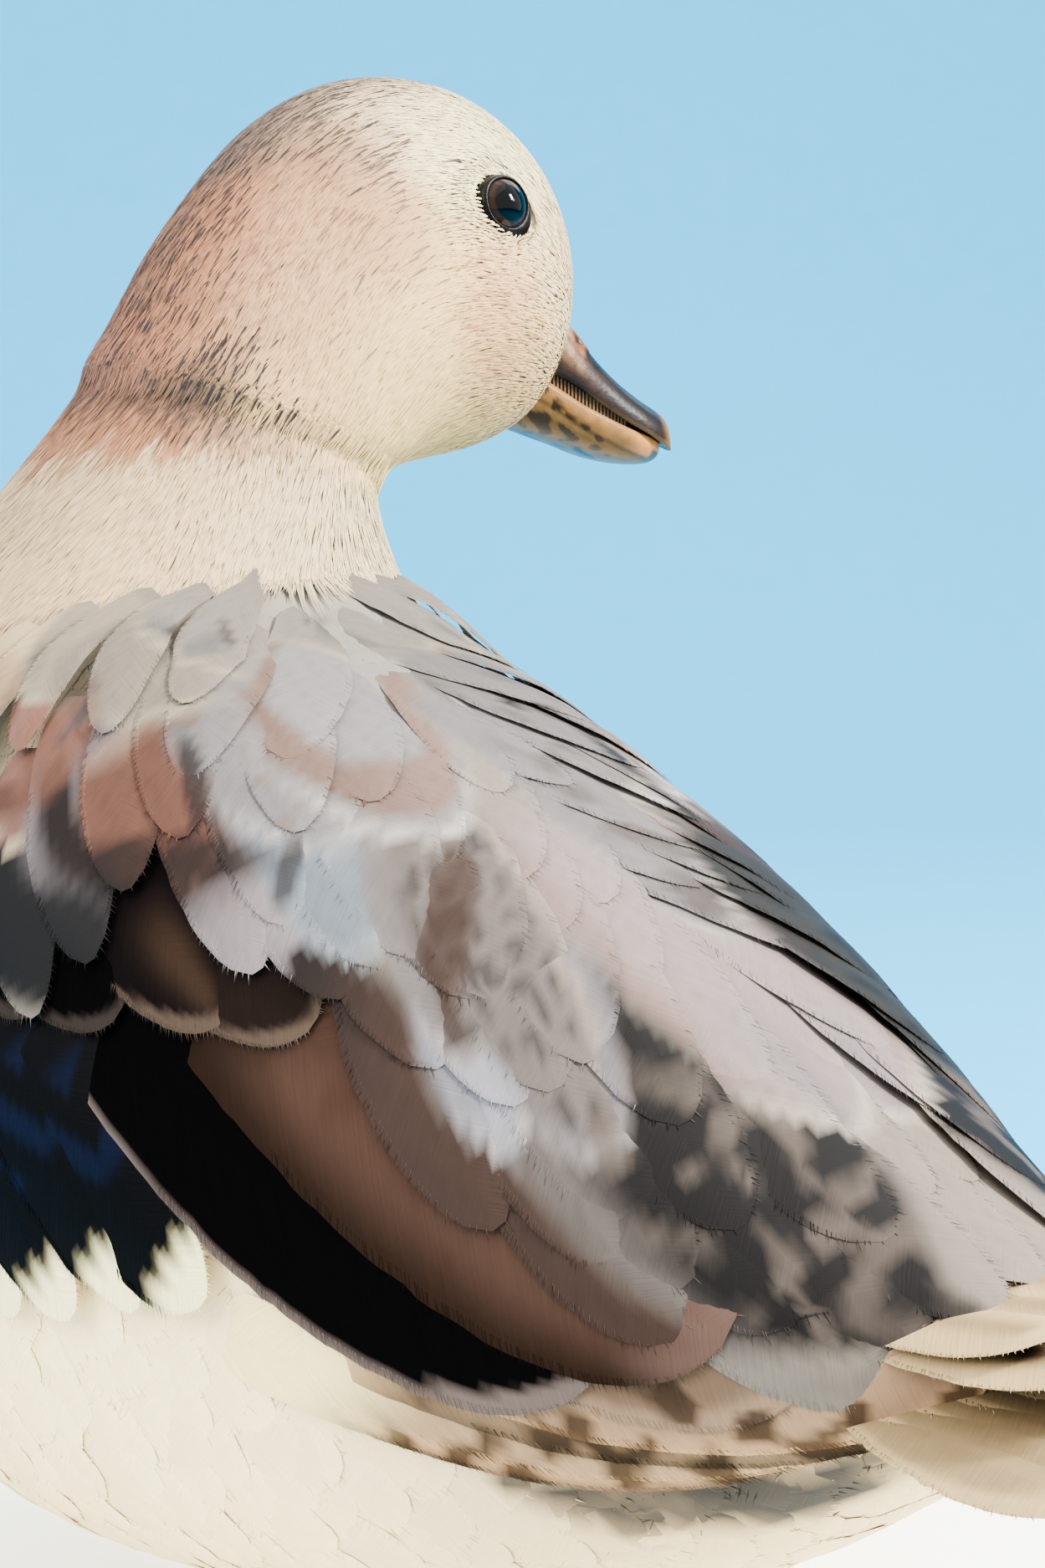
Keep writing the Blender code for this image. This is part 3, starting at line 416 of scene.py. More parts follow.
def heap(pile, points, faces, colour, bake, barb=None):
    """Adds many like solids: points (n, k, 3), the triangles (m, 3) of one, and the rest to match."""
    n, k = points.shape[:2]
    barb = np.zeros((n, k, 2)) if barb is None else barb
    corners = (points - points.mean(1, keepdims=True))[:, faces]
    inside_out = np.einsum("nmi,nmi->n", corners[:, :, 0], np.cross(corners[:, :, 1], corners[:, :, 2])) < 0
    faces = np.where(inside_out[:, None, None], faces[None, :, ::-1], faces[None])
    offsets = (np.arange(n) * k + pile["count"])[:, None, None]
    pile["points"].append(points.reshape(-1, 3))
    pile["faces"].append((faces + offsets).reshape(-1, 3))
    pile["colour"].append(np.broadcast_to(colour, (n, k, 3)).reshape(-1, 3))
    pile["bake"].append(np.broadcast_to(bake, (n, k, 2)).reshape(-1, 2))
    pile["barb"].append(barb.reshape(-1, 2))
    pile["count"] += n * k


def mesh_from(name, points, faces, colour=None, uvs=(), smooth=True):
    """An object from arrays. Each UV map is (name, values for each point, or for each corner)."""
    mesh = bpy.data.meshes.new(name)
    faces = np.asarray(faces, np.int32)
    mesh.vertices.add(len(points))
    mesh.vertices.foreach_set("co", np.asarray(points, np.float32).ravel())
    mesh.loops.add(faces.size)
    mesh.loops.foreach_set("vertex_index", faces.ravel())
    mesh.polygons.add(len(faces))
    mesh.polygons.foreach_set("loop_start", np.arange(0, faces.size, faces.shape[1], dtype=np.int32))
    mesh.polygons.foreach_set("use_smooth", np.full(len(faces), smooth))
    mesh.update(calc_edges=True)
    if colour is not None:
        layer = mesh.color_attributes.new("Plumage", "FLOAT_COLOR", "POINT")
        rgba = np.concatenate((colour, np.ones((len(colour), 1))), 1)
        layer.data.foreach_set("color", rgba.astype(np.float32).ravel())
    for label, values in uvs:
        layer = mesh.uv_layers.new(name=label)
        corners = values if len(values) == faces.size else values[faces.ravel()]
        layer.data.foreach_set("uv", np.asarray(corners, np.float32).ravel())
    made = bpy.data.objects.new(name, mesh)
    bpy.context.scene.collection.objects.link(made)
    return made

# %% Dressing the pieces


def dress(piece, finish, slot, *nodes):
    """Gives a piece its material and its body, and hides the solids that it stands for. slot is not used."""
    piece.data.materials.append(finish)
    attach(piece, "root")
    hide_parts(*nodes)
    return piece


def pour(name, pile, finish, slot, *nodes, smooth=True):
    arrays = {key: np.concatenate(pile[key]) for key in ("points", "faces", "colour", "bake", "barb")}
    uvs = (("OFBake", arrays["bake"]), ("Barbs", arrays["barb"]))
    made = mesh_from(name, arrays["points"], arrays["faces"], arrays["colour"], uvs, smooth)
    print(f"{name}: {len(arrays['faces'])} triangles")
    return dress(made, finish, slot, *nodes)

# %% [markdown]
# Plumage has two finishes. A vane's barbs run out from its shaft in fine parallel lines, which
# break its gloss, so the barb map's first coordinate counts millimetres along the slant of the
# barbs and drives streaks and bump. Down and face feathers are hair-fine, so each is its own mesh
# and needs only a soft, rough keratin that hardly shines.

# %% Materials of the plumage


def node(tree, kind, settings=None, links=None):
    """Adds a node, sets its properties and sockets, and links other nodes' outputs into it."""
    made = tree.nodes.new(kind)
    for key, value in (settings or {}).items():
        if isinstance(key, str) and hasattr(made, key):
            setattr(made, key, value)
        else:
            made.inputs[key].default_value = value
    for key, source in (links or {}).items():
        tree.links.new(source, made.inputs[key])
    return made


def new_material(name, **sockets):
    made = bpy.data.materials.new(name)
    made.use_nodes = True
    shader = made.node_tree.nodes["Principled BSDF"]
    for key, value in sockets.items():
        shader.inputs[key.replace("_", " ")].default_value = value
    return made, made.node_tree, shader


def varied(tree, tone, pattern, low, high, span=(0.3, 0.7)):
    """A tone made darker and lighter by a pattern: its share at the low and high end of the span."""
    strength = node(tree, "ShaderNodeMapRange",
                    {"From Min": span[0], "From Max": span[1], "To Min": low, "To Max": high},
                    {"Value": pattern})
    shade = node(tree, "ShaderNodeVectorMath", {"operation": "SCALE"},
                 {0: tone, "Scale": strength.outputs["Result"]})
    return shade.outputs["Vector"]


def wire(tree, shader, tone=None, pattern=None, strength=0.0, deep=0.0):
    """Links a tone to the shader's base colour, and a pattern to its normal as a bump this deep in metres."""
    if tone is not None:
        tree.links.new(tone, shader.inputs["Base Color"])
    if pattern is not None:
        bump = node(tree, "ShaderNodeBump", {"Strength": strength, "Distance": deep}, {"Height": pattern})
        tree.links.new(bump.outputs["Normal"], shader.inputs["Normal"])


KERATIN_IOR = 1.55
# A real barb is about 0.1 mm apart from the next; this is as coarse as it needs to show.
BARBS_PER_MM = 2.2


def vane_material(name, roughness, streak, gloss):
    """Barbed vane: streaks and bump along the barbs, which also scatter most of its gloss."""
    made, tree, shader = new_material(name, Roughness=roughness, IOR=KERATIN_IOR, Specular_IOR_Level=gloss)
    tone = node(tree, "ShaderNodeVertexColor", {"layer_name": "Plumage"})
    barbs = node(tree, "ShaderNodeUVMap", {"uv_map": "Barbs"})
    slant = node(tree, "ShaderNodeMapping", {"Scale": (BARBS_PER_MM, 0.12, 1.0)},
                 {"Vector": barbs.outputs["UV"]})
    lines = node(tree, "ShaderNodeTexNoise", {"Scale": 1.0, "Detail": 2.0, "Roughness": 0.6},
                 {"Vector": slant.outputs["Vector"]})
    shade = varied(tree, tone.outputs["Color"], lines.outputs["Fac"], 1 - streak, 1 + streak * 0.6)
    wire(tree, shader, shade, lines.outputs["Fac"], 0.35, 0.00018)
    return made


def down_material(name):
    """Down and strands: the mesh carries the shape, so only a faint mottle is added."""
    made, tree, shader = new_material(name, Roughness=0.7, IOR=KERATIN_IOR, Specular_IOR_Level=0.25)
    tone = node(tree, "ShaderNodeVertexColor", {"layer_name": "Plumage"})
    place = node(tree, "ShaderNodeTexCoord")
    mottle = node(tree, "ShaderNodeTexNoise", {"Scale": 900.0, "Detail": 2.0},
                  {"Vector": place.outputs["Object"]})
    wire(tree, shader, varied(tree, tone.outputs["Color"], mottle.outputs["Fac"], 0.93, 1.05))
    return made


# Roughness, streaks of the barbs, and gloss. Barbs lie closest in the speculum, so it is smoothest
contour_keratin = vane_material("contour_feather_keratin", 0.66, 0.09, 0.2)
shoulder_keratin = vane_material("shoulder_feather_keratin", 0.66, 0.09, 0.06)
flight_keratin = vane_material("flight_feather_keratin", 0.55, 0.10, 0.0)
speculum_keratin = vane_material("iridescent_speculum_keratin", 0.45, 0.14, 0.01)
down_keratin = down_material("down_keratin")
print("materials:", [made.name for made in bpy.data.materials if "keratin" in made.name])

# %% [markdown]
# Under the feathers lies the skin, one closed sheet from tail to bill. It could be left out where
# feathers cover it, but gaps between them would then show daylight. It follows the net, drawn in by
# the depth of the coat, and it wears the same tones, darkened a little as painted shade between feathers.

# %% Skin under the plumage
# Depth of the coat in metres along the net's rows
COAT_DEPTH = ((0, 0.0016), (2, 0.0022), (NECK_BASE, 0.0022), (13, 0.0018), (COLLAR, 0.0013), (20, 0.0011),
              (25, 0.0009), (BILL_ROOT, 0.0007))
SKIN_STEP = 2
# The skin is a little darker than the plumage: painted shade in the gaps between feathers
SKIN_PAINTED_SHADE = 0.93
# The caps at tail and bill take a spare corner of the bake map
CAP_PATCH = ((0.001, 0.001), (0.004, 0.001), (0.001, 0.004))


def coat_depth(u):
    rows, depths = zip(*COAT_DEPTH)
    return np.interp(u, rows, depths)


def make_skin():
    rows = np.arange(0, ROWS, SKIN_STEP)
    columns = np.arange(0, COLUMNS, SKIN_STEP)
    u = rows[:, None] / PER_STATION + np.zeros(len(columns))
    v = columns * TURN / COLUMNS + np.zeros((len(rows), 1))
    points = NET[rows][:, columns] - NORMALS[rows][:, columns] * coat_depth(u)[..., None]
    count = len(columns)
    i, k = np.meshgrid(np.arange(len(rows) - 1), np.arange(count), indexing="ij")
    n = (k + 1) % count
    quads = np.stack((i * count + k, i * count + n, (i + 1) * count + n, (i + 1) * count + k), -1)
    quads = quads.reshape(-1, 4)
    corner_u = np.stack((i, i, i + 1, i + 1), -1).reshape(-1) * SKIN_STEP / PER_STATION
    corner_v = np.stack((k, k + 1, k + 1, k), -1).reshape(-1) * SKIN_STEP / COLUMNS
    bake = BAKE_MARGIN + (1 - 2 * BAKE_MARGIN) * np.stack((corner_u / BILL_ROOT, corner_v), -1)
    flat = points.reshape(-1, 3)
    # The plumage's tones, darkened by painted shade
    colour = plumage(u, v).reshape(-1, 3) * SKIN_PAINTED_SHADE
    tail_end, bill_end = len(flat), len(flat) + 1
    flat = np.vstack((flat, points[0].mean(0), points[-1].mean(0)))
    colour = np.vstack((colour, colour[0], colour[-1]))
    faces = np.concatenate((quads[:, (0, 2, 1)], quads[:, (0, 3, 2)]))
    bake = bake.reshape(-1, 4, 2)
    corners = np.concatenate((bake[:, (0, 2, 1)], bake[:, (0, 3, 2)]))
    ring = np.arange(count)
    last = (len(rows) - 1) * count
    caps = np.concatenate((np.stack((np.full(count, tail_end), ring, (ring + 1) % count), -1),
                           np.stack((np.full(count, bill_end), last + (ring + 1) % count, last + ring), -1)))
    cap_uv = np.tile(np.array(CAP_PATCH), (2 * count, 1))
    faces = np.concatenate((faces, caps))
    uvs = (("OFBake", np.concatenate((corners.reshape(-1, 2), cap_uv))),)
    made = mesh_from("skin", flat, faces, colour, uvs)
    return dress(made, down_keratin, "body_plumage", "torso", "neck", "head")


skin = make_skin()
print("skin:", len(skin.data.polygons), "triangles")

# %% [markdown]
# The coat of head and neck is thousands of fine strands, so their roots have to be spread evenly. A
# particle system could scatter them, but a golden sequence is even by itself and gives the same
# bird on every run. From each root a path is walked over the net, a small step at a time.

# %% Places and paths on the skin
GOLDEN = (0.7548776662466927, 0.5698402909980532)
GOLDEN_SHARE = 0.618033988749895
TRIES = 3.2


def scatter(count, low, high, seed=0.5):
    """Addresses spread evenly over the skin between two rows, by a golden sequence thinned to the area."""
    tries = int(count * TRIES)
    n = np.arange(1, tries + 1)
    u = low + (high - low) * ((seed + n * GOLDEN[0]) % 1.0)
    v = TURN * ((seed * 0.7 + n * GOLDEN[1]) % 1.0)
    speed = sample(SPEED, u, v)
    size = speed[:, 0] * speed[:, 1]
    keep = (n * GOLDEN_SHARE) % 1.0 < size / np.percentile(size, 99)
    u, v = u[keep], v[keep]
    return u[:count], v[:count]


def walk(u, v, turn, length, steps):
    """Follows the skin from each root towards the tail, turned aside by an angle. Gives rows and angles."""
    us, vs = [u], [v]
    for _ in range(steps - 1):
        speed = sample(SPEED, us[-1], vs[-1])
        us.append(us[-1] - np.cos(turn) * length / (steps - 1) / speed[..., 0])
        vs.append(vs[-1] + np.sin(turn) * length / (steps - 1) / speed[..., 1])
    return np.stack(us, 1), np.stack(vs, 1)

# %% [markdown]
# The eye is bare, so the coat has to know where it is. Its place is found on the net from where it
# stands on the head. Round it the lid is a circle, drawn out to a corner low in front, and every
# strand asks how far it is from that outline.

# %% Where the eyes are
# Forward and up of the eye in the head's frame, then the lid's radii in metres
EYE_SPOT = (0.0128, 0.0094)
LID_INNER, LID_OUTER, LID_CORNER, LID_BACK = 0.00365, 0.00425, 0.0013, 0.0003
# Directions ahead and up in which the lid reaches out in front and behind
FRONT_CORNER, BACK_CORNER = (0.74, -0.67), (-0.80, 0.60)
# The coat swells up to the lid from this far out, by this much
LID_SLOPE_END, LID_SLOPE_RISE = 0.0058, 0.0009


def eye_address(side):
    grid = NET[COLLAR * PER_STATION:]
    way = (grid - HEAD_CENTRE) / HEAD_SIZE
    miss = (way @ FORWARD - EYE_SPOT[0]) ** 2 + (way @ UP - EYE_SPOT[1]) ** 2
    miss = miss + np.where(way @ RIGHT * side > 0, 0, 1)
    i, j = np.unravel_index(np.argmin(miss), miss.shape)
    return COLLAR + i / PER_STATION, j * TURN / COLUMNS


EYES = {"right": eye_address(1), "left": eye_address(-1)}
EYE_PLACES = {key: sample(NET, np.array([u]), np.array([v]))[0] for key, (u, v) in EYES.items()}
print("eyes, mm in the head's frame:",
      {key: np.round(head_frame(p), 1).tolist() for key, p in EYE_PLACES.items()})


def lid_reach(ahead, above):
    """Outer radius of the bare lid in a direction: a circle drawn out to a corner, low in front."""
    corner = np.clip(FRONT_CORNER[0] * ahead + FRONT_CORNER[1] * above, 0, 1)
    behind = np.clip(BACK_CORNER[0] * ahead + BACK_CORNER[1] * above, 0, 1)
    return LID_OUTER + LID_CORNER * corner**5 + LID_BACK * behind**6


def eye_gap(points):
    gaps = []
    for place in EYE_PLACES.values():
        away = points - place
        gap = np.linalg.norm(away, axis=-1) + 1e-9
        gaps.append(gap - lid_reach(away @ FORWARD / gap, away @ UP / gap) + LID_OUTER)
    return np.minimum(*gaps)

# %% [markdown]
# A small feather of the face or neck shows only its hair-fine outer barbs. Each tuft is a closed,
# three-sided spike with a bend in the middle: ten triangles are enough at this width. Its root
# stands on the skin, and its tip reaches the true outline.

# %% Tufts
# Points 0 to 2 are round the root, 3 to 5 round the middle, and 6 is the tip
TUFT_FACES = np.array(((0, 2, 1), (0, 1, 4), (0, 4, 3), (1, 2, 5), (1, 5, 4), (2, 0, 3), (2, 3, 5),
                       (3, 4, 6), (4, 5, 6), (5, 3, 6)))
TUFT_SPREAD = np.array(((-1, -1), (0, -1), (1, -1), (-1, 0), (0, 0), (1, 0), (0, 1)))
# Depth under the outline of a tuft's root and middle, as shares of the coat, and the painted shade
# of its root, middle and tip, darkest at the deep root
ROOT_DEEP, MIDDLE_DEEP = 0.80, 0.15
TUFT_PAINTED_SHADES = (0.94, 1.0, 1.02)
# Width at the root, as a share of the full one, and height of the ridge over the edges
ROOT_WIDE, RIDGE = 0.8, 0.20


def tufts(pile, u, v, turn, length, width, lift, colours):
    """Closed spikes on the net. lift is the height of the tip over the outline; colours is (n, 3)."""
    us, vs = walk(u, v, turn, length, 3)
    spots, normals = sample(NET, us, vs), sample(NORMALS, us, vs)
    deep = coat_depth(u)
    heights = np.stack((lift - ROOT_DEEP * deep, lift - MIDDLE_DEEP * deep, lift), 1)
    heights = heights + LID_SLOPE_RISE * (1 - smooth_step(eye_gap(spots), LID_OUTER, LID_SLOPE_END))
    line = spots + normals * heights[..., None]
    ahead = np.stack((line[:, 1] - line[:, 0], line[:, 2] - line[:, 1]), 1)
    side = np.cross(ahead, normals[:, :2])
    side /= np.linalg.norm(side, axis=-1, keepdims=True) + 1e-12
    half = (width / 2)[:, None] * np.array((ROOT_WIDE, 1.0))
    offset = side * half[..., None]
    rise = normals[:, :2] * (half * RIDGE)[..., None]
    rings = [np.stack((line[:, i] - offset[:, i], line[:, i] + rise[:, i], line[:, i] + offset[:, i]), 1)
             for i in (0, 1)]
    points = np.concatenate((rings[0], rings[1], line[:, 2:3]), 1)
    # Painted shade: each tuft darker at its root, which lies deep, and lighter at its tip
    painted_shades = np.repeat(TUFT_PAINTED_SHADES, (3, 3, 1))[:, None]
    bake = bake_spot(u, v)[:, None] + TUFT_SPREAD * PATCH
    heap(pile, points, TUFT_FACES, np.clip(colours[:, None] * painted_shades, 0, 1), bake)


print("a tuft has", len(TUFT_FACES), "triangles")

# %% [markdown]
# The head's strands run back from the bill, over the crown and cheeks, to the collar. Round the eye
# they part and close again behind it. Most are cream and buff; dark brown dashes gather along the
# crown, down the nape and in the fold of the collar, as if each were touched with a fine brush.
# Hair curves are Blender's usual way, but a strand that is a mesh goes with the model everywhere.
# Its faces stay flat: shaded smooth, so thin a spike would take its light from the side.

# %% Where the strands and dashes stand
STRANDS_PER_MM2 = 4.5
NECK_STRANDS_PER_MM2 = 2.7
# Pieces of the head: name, first and last row, then length and width in mm at each end
HEAD_STRANDS = (
    ("head_strands_nape", COLLAR - 0.25, COLLAR + 3.0, (6.6, 6.2), (0.43, 0.41)),
    ("head_strands_crown", COLLAR + 3.0, COLLAR + 6.1, (6.2, 5.3), (0.41, 0.37)),
    ("head_strands_face", COLLAR + 6.1, BILL_ROOT - 0.05, (5.1, 3.4), (0.37, 0.30)),
)
NECK_STRANDS = (
    ("neck_strands_low", NECK_BASE + 0.35, NECK_BASE + 2.6, (5.0, 10.0), (0.54, 0.52)),
    ("neck_strands_high", NECK_BASE + 2.6, COLLAR + 0.1, (10.0, 8.0), (0.52, 0.46)),
)
# Dark dashes: place in mm in the head's frame, reach in mm, share of the strands there, tone
DASHES = (
    ("crown_front", (12, 6, 31), 7, 0.10, "#5b4738"),
    ("crown_line", (0, 3, 32), 8, 0.40, "#3d2c20"),
    ("crown_back", (-9, 6, 30), 7, 0.38, "#47331f"),
    ("nape_top", (-18, 5, 24), 6, 0.46, "#3d2917"),
    ("nape_upper", (-27, 5, 16), 6, 0.50, "#382414"),
    ("nape_middle", (-35, 6, 6), 6, 0.50, "#382414"),
    ("nape_side", (-36, 14, 2), 6, 0.20, "#5d402c"),
    ("nape_low", (-43, 6, -6), 6, 0.60, "#33241a"),
    ("collar_back", (-50, 7, -17), 6, 0.26, "#4b3223"),
    ("fold_knot", (-36, 25, -18), 5, 0.95, "#2c1a0c"),
    ("fold_side", (-44, 19, -17), 5, 0.34, "#462b14"),
    ("fold_front", (-29, 29, -22), 4, 0.34, "#4b3020"),
    ("crown_streak", (-10, 19, 21), 4, 0.45, "#6d4a30"),
    ("streak_end", (-5, 23, 18), 4, 0.30, "#8a6343"),
    ("ear", (-9, 29, 8), 5, 0.20, "#b08c66"),
    ("ear_low", (-3, 31, 1), 4, 0.16, "#b8946c"),
    ("buff_cheek", (15, 28, -6), 7, 0.10, "#d3b08a"),
    ("buff_low", (16, 26, -14), 5, 0.10, "#d3b08a"),
    ("forehead_dots", (25, 23, 7), 6, 0.035, "#55483b"),
    ("mid_head", (-23, 26, 0), 9, 0.12, "#c39f7c"),
)
DASH_PER_MM2 = 1.15
# Flat-faced strands catch more of the light than smooth ones, so their pigments are deeper
HEAD_SHARE, NECK_SHARE = np.array((0.56, 0.53, 0.47)), np.array((0.44, 0.44, 0.42))
DASH_SHARE = 0.75
print("pieces of strands:", len(HEAD_STRANDS) + len(NECK_STRANDS), "places with dashes:", len(DASHES))

# %% How the strands lie
# Angles by which they turn aside before an eye and close in behind it; width and reach of that in metres
PARTING, CLOSING = math.radians(58), math.radians(16)
PARTING_WIDE, PARTING_REACH = 0.0016, 0.0075


def clumps(place, size):
    """A smooth value between -1 and 1 that changes over about this size, the same on every run."""
    x, y, z = np.moveaxis(place / size, -1, 0)
    return (np.sin(1.9 * x + 2.3 * np.sin(1.3 * y + z)) + np.sin(2.1 * y + 1.7 * np.sin(1.7 * z + x))
            + np.sin(1.8 * z + 2.1 * np.sin(1.1 * x + y))) / 3


def band_count(low, high, per_mm2):
    rows = slice(int(low * PER_STATION), int(high * PER_STATION))
    return int(area[rows].sum() * 1e6 * per_mm2)


def round_the_eyes(u, v, place):
    """The angle by which a strand turns aside, to part before each eye and close behind it."""
    turn = np.zeros(len(u))
    for key, (eye_u, eye_v) in EYES.items():
        gap = np.linalg.norm(place - EYE_PLACES[key], axis=1)
        speed = sample(SPEED, np.full(1, eye_u), np.full(1, eye_v))[0]
        off = (v - eye_v + math.pi) % TURN - math.pi
        side = np.tanh(off * speed[1] / PARTING_WIDE)
        before = smooth_step((u - eye_u) * speed[0], -0.003, 0.002)
        turn += side * np.exp(-((gap / PARTING_REACH) ** 2)) * (PARTING * before - CLOSING * (1 - before))
    return turn

# %% Strands of the head and neck
# A strand's tip may lie this far over the lid, and one rooted nearer than this to the eye is finer
TIP_OVER, NEAR_EYE = 0.0001, 0.0075
# Change from strand to strand and from clump to clump: of the tone, and of the turn in radians
TONE_JITTER, TONE_CLUMPS, TURN_JITTER, TURN_CLUMPS = 0.022, 0.05, 0.07, 0.16
# The collar's edge is ragged by this many rows, and tips end this far from the outline in metres
RAGGED, TIP_LIFT = 0.14, (-0.00013, 0.00004)


def strands(pile, low, high, length, width, per_mm2, seed):
    rng = np.random.default_rng(seed)
    u, v = scatter(band_count(low, high, per_mm2), low, high, 0.31 + seed * 0.07)
    place = sample(NET, u, v)
    near = eye_gap(place)
    keep = near > LID_OUTER + 0.0001
    u, v, place, near = u[keep], v[keep], place[keep], near[keep]
    n = len(u)
    ragged = np.where(u < COLLAR + 1, rng.normal(0, RAGGED, n), 0)
    change = 1 + TONE_CLUMPS * clumps(place, 0.0035) + rng.normal(0, TONE_JITTER, n)
    tone = plumage(u + ragged, v) * change[:, None]
    on_head = smooth_step(u, COLLAR - 0.5, COLLAR + 0.7)[:, None]
    tone = tone * (NECK_SHARE + (HEAD_SHARE - NECK_SHARE) * on_head)
    reach = np.interp(u, (low, high), length) / 1000 * rng.uniform(0.8, 1.2, n)
    reach = np.minimum(reach, 0.0016 + 0.55 * np.clip(near - LID_OUTER, 0, 1) + np.where(near < 0.012, 0, 1))
    wide = np.interp(u, (low, high), width) / 1000 * rng.uniform(0.8, 1.2, n)
    wide = np.where(near < NEAR_EYE, wide * 0.72, wide)
    turn = rng.normal(0, TURN_JITTER, n) + TURN_CLUMPS * clumps(place, 0.006) + round_the_eyes(u, v, place)
    lift = rng.uniform(*TIP_LIFT, n)
    us, vs = walk(u, v, turn, reach, 3)
    keep = eye_gap(sample(NET, us[:, 2], vs[:, 2])) > LID_OUTER - TIP_OVER
    tufts(pile, *(x[keep] for x in (u, v, turn, reach, wide, lift, tone)))
    return int(keep.sum())


for number, (name, low, high, length, width) in enumerate(HEAD_STRANDS + NECK_STRANDS):
    pile = new_pile()
    on_head = name.startswith("head")
    density = STRANDS_PER_MM2 if on_head else NECK_STRANDS_PER_MM2
    made = strands(pile, low, high, length, width, density, number + 1)
    slot = "head_plumage" if on_head else "neck_plumage"
    pour(name, pile, down_keratin, slot, smooth=False)
    print(name, made, "strands")

# %% Dark dashes
# Length, width and height over the outline in metres, and the bare room round an eye
DASH_LENGTH, DASH_WIDTH, DASH_LIFT = (0.0040, 0.0080), (0.00028, 0.00042), (0.00002, 0.00014)
DASH_EYE_CLEAR = 0.0062


def dark_dashes():
    """The topmost strands: dark along their whole length, so that each shows as a fine dash."""
    rng = np.random.default_rng(9)
    low, high = COLLAR - 0.5, BILL_ROOT - 0.3
    u, v = scatter(band_count(low, high, DASH_PER_MM2), low, high, 0.83)
    place = sample(NET, u, v)
    frame_mm = head_frame(place)
    keep, tone = np.zeros(len(u), bool), np.zeros((len(u), 3))
    for _, centre, reach, share, dark in DASHES:
        chance = share * np.exp(-((frame_mm - centre) ** 2).sum(1) / (2 * reach * reach))
        hit = (rng.random(len(u)) < chance) & ~keep
        tone[hit] = pigment(dark)
        keep |= hit
    keep &= eye_gap(place) > DASH_EYE_CLEAR
    u, v, tone = u[keep], v[keep], tone[keep]
    n = len(u)
    pile = new_pile()
    size = rng.uniform(*DASH_LENGTH, n)
    tufts(pile, u, v, rng.normal(0, 0.10, n), size, rng.uniform(*DASH_WIDTH, n), rng.uniform(*DASH_LIFT, n),
          tone * DASH_SHARE * rng.uniform(0.8, 1.3, (n, 1)))
    pour("head_dashes", pile, down_keratin, "head_plumage", smooth=False)
    return n


print("dashes:", dark_dashes())

# %% [markdown]
# A contour feather is a thin vane on a shaft, downy at its root and open at its rim. Its surface
# is a grid that bends with the body under it, domed on top and flat below, so that it is closed;
# loose barb ends along the outer rim keep its edge from looking cut out. One function lays any
# number of vanes that have the same grid, for the body as for the wing.

# %% The shape of a vane


def outline(t, blunt, root=0.35):
    grow = np.minimum(1, root + (1 - root) * np.sqrt(np.clip(t / 0.45, 0, 1)))
    fall = np.sqrt(np.clip(1 - (np.clip(t - blunt, 0, 1) / (1 - blunt)) ** 2, 0.012, 1))
    return grow * fall


def edges_and_middle(columns):
    return [0, len(columns) // 2, len(columns) - 1]


def grid_faces(rows, columns, flip=False):
    i, k = np.meshgrid(np.arange(rows - 1), np.arange(columns - 1), indexing="ij")
    a = (i * columns + k).ravel()
    b, c, d = a + 1, a + columns + 1, a + columns
    faces = np.concatenate((np.stack((a, b, c), -1), np.stack((a, c, d), -1)))
    return faces[:, ::-1] if flip else faces


def vane_faces(rows, columns):
    under = grid_faces(rows, 3, True) + rows * columns
    return np.concatenate((grid_faces(rows, columns), under))


def rim_nearness(t, s):
    """0 on the shaft near the root, 1 at the rim of the vane."""
    tip = np.clip((t - 0.35) / 0.65, 0, 1)
    return (np.abs(s) ** 3.2 + tip**3.2) ** (1 / 3.2)


def on_net(us, vs, heights):
    return sample(NET, us, vs) + sample(NORMALS, us, vs) * heights[..., None]

# %% Laying vanes


def lay(us, vs, half, heights, columns, tilt, dome):
    """Vanes whose shafts follow addresses (vanes, rows): top, underside, and the top's addresses."""
    speed = sample(SPEED, us, vs)
    along = np.gradient(us, axis=1) * speed[..., 0]
    aside = np.gradient(vs, axis=1) * speed[..., 1]
    norm = np.hypot(along, aside) + 1e-12
    along, aside = along / norm, aside / norm
    across = columns * half[..., None]
    grid_u = us[..., None] + (aside / speed[..., 0])[..., None] * across
    grid_v = vs[..., None] - (along / speed[..., 1])[..., None] * across
    t = np.linspace(0, 1, us.shape[1])
    ends = np.clip(np.minimum(t / 0.1, (1 - t) / 0.12), 0, 1)
    rise = dome * (1 - columns**2) * ends[:, None]
    flat = heights[..., None] + tilt[:, None, None] * across
    pick = edges_and_middle(columns)
    top = on_net(grid_u, grid_v, flat + rise)
    return top, on_net(grid_u[..., pick], grid_v[..., pick], flat[..., pick]), (grid_u, grid_v)


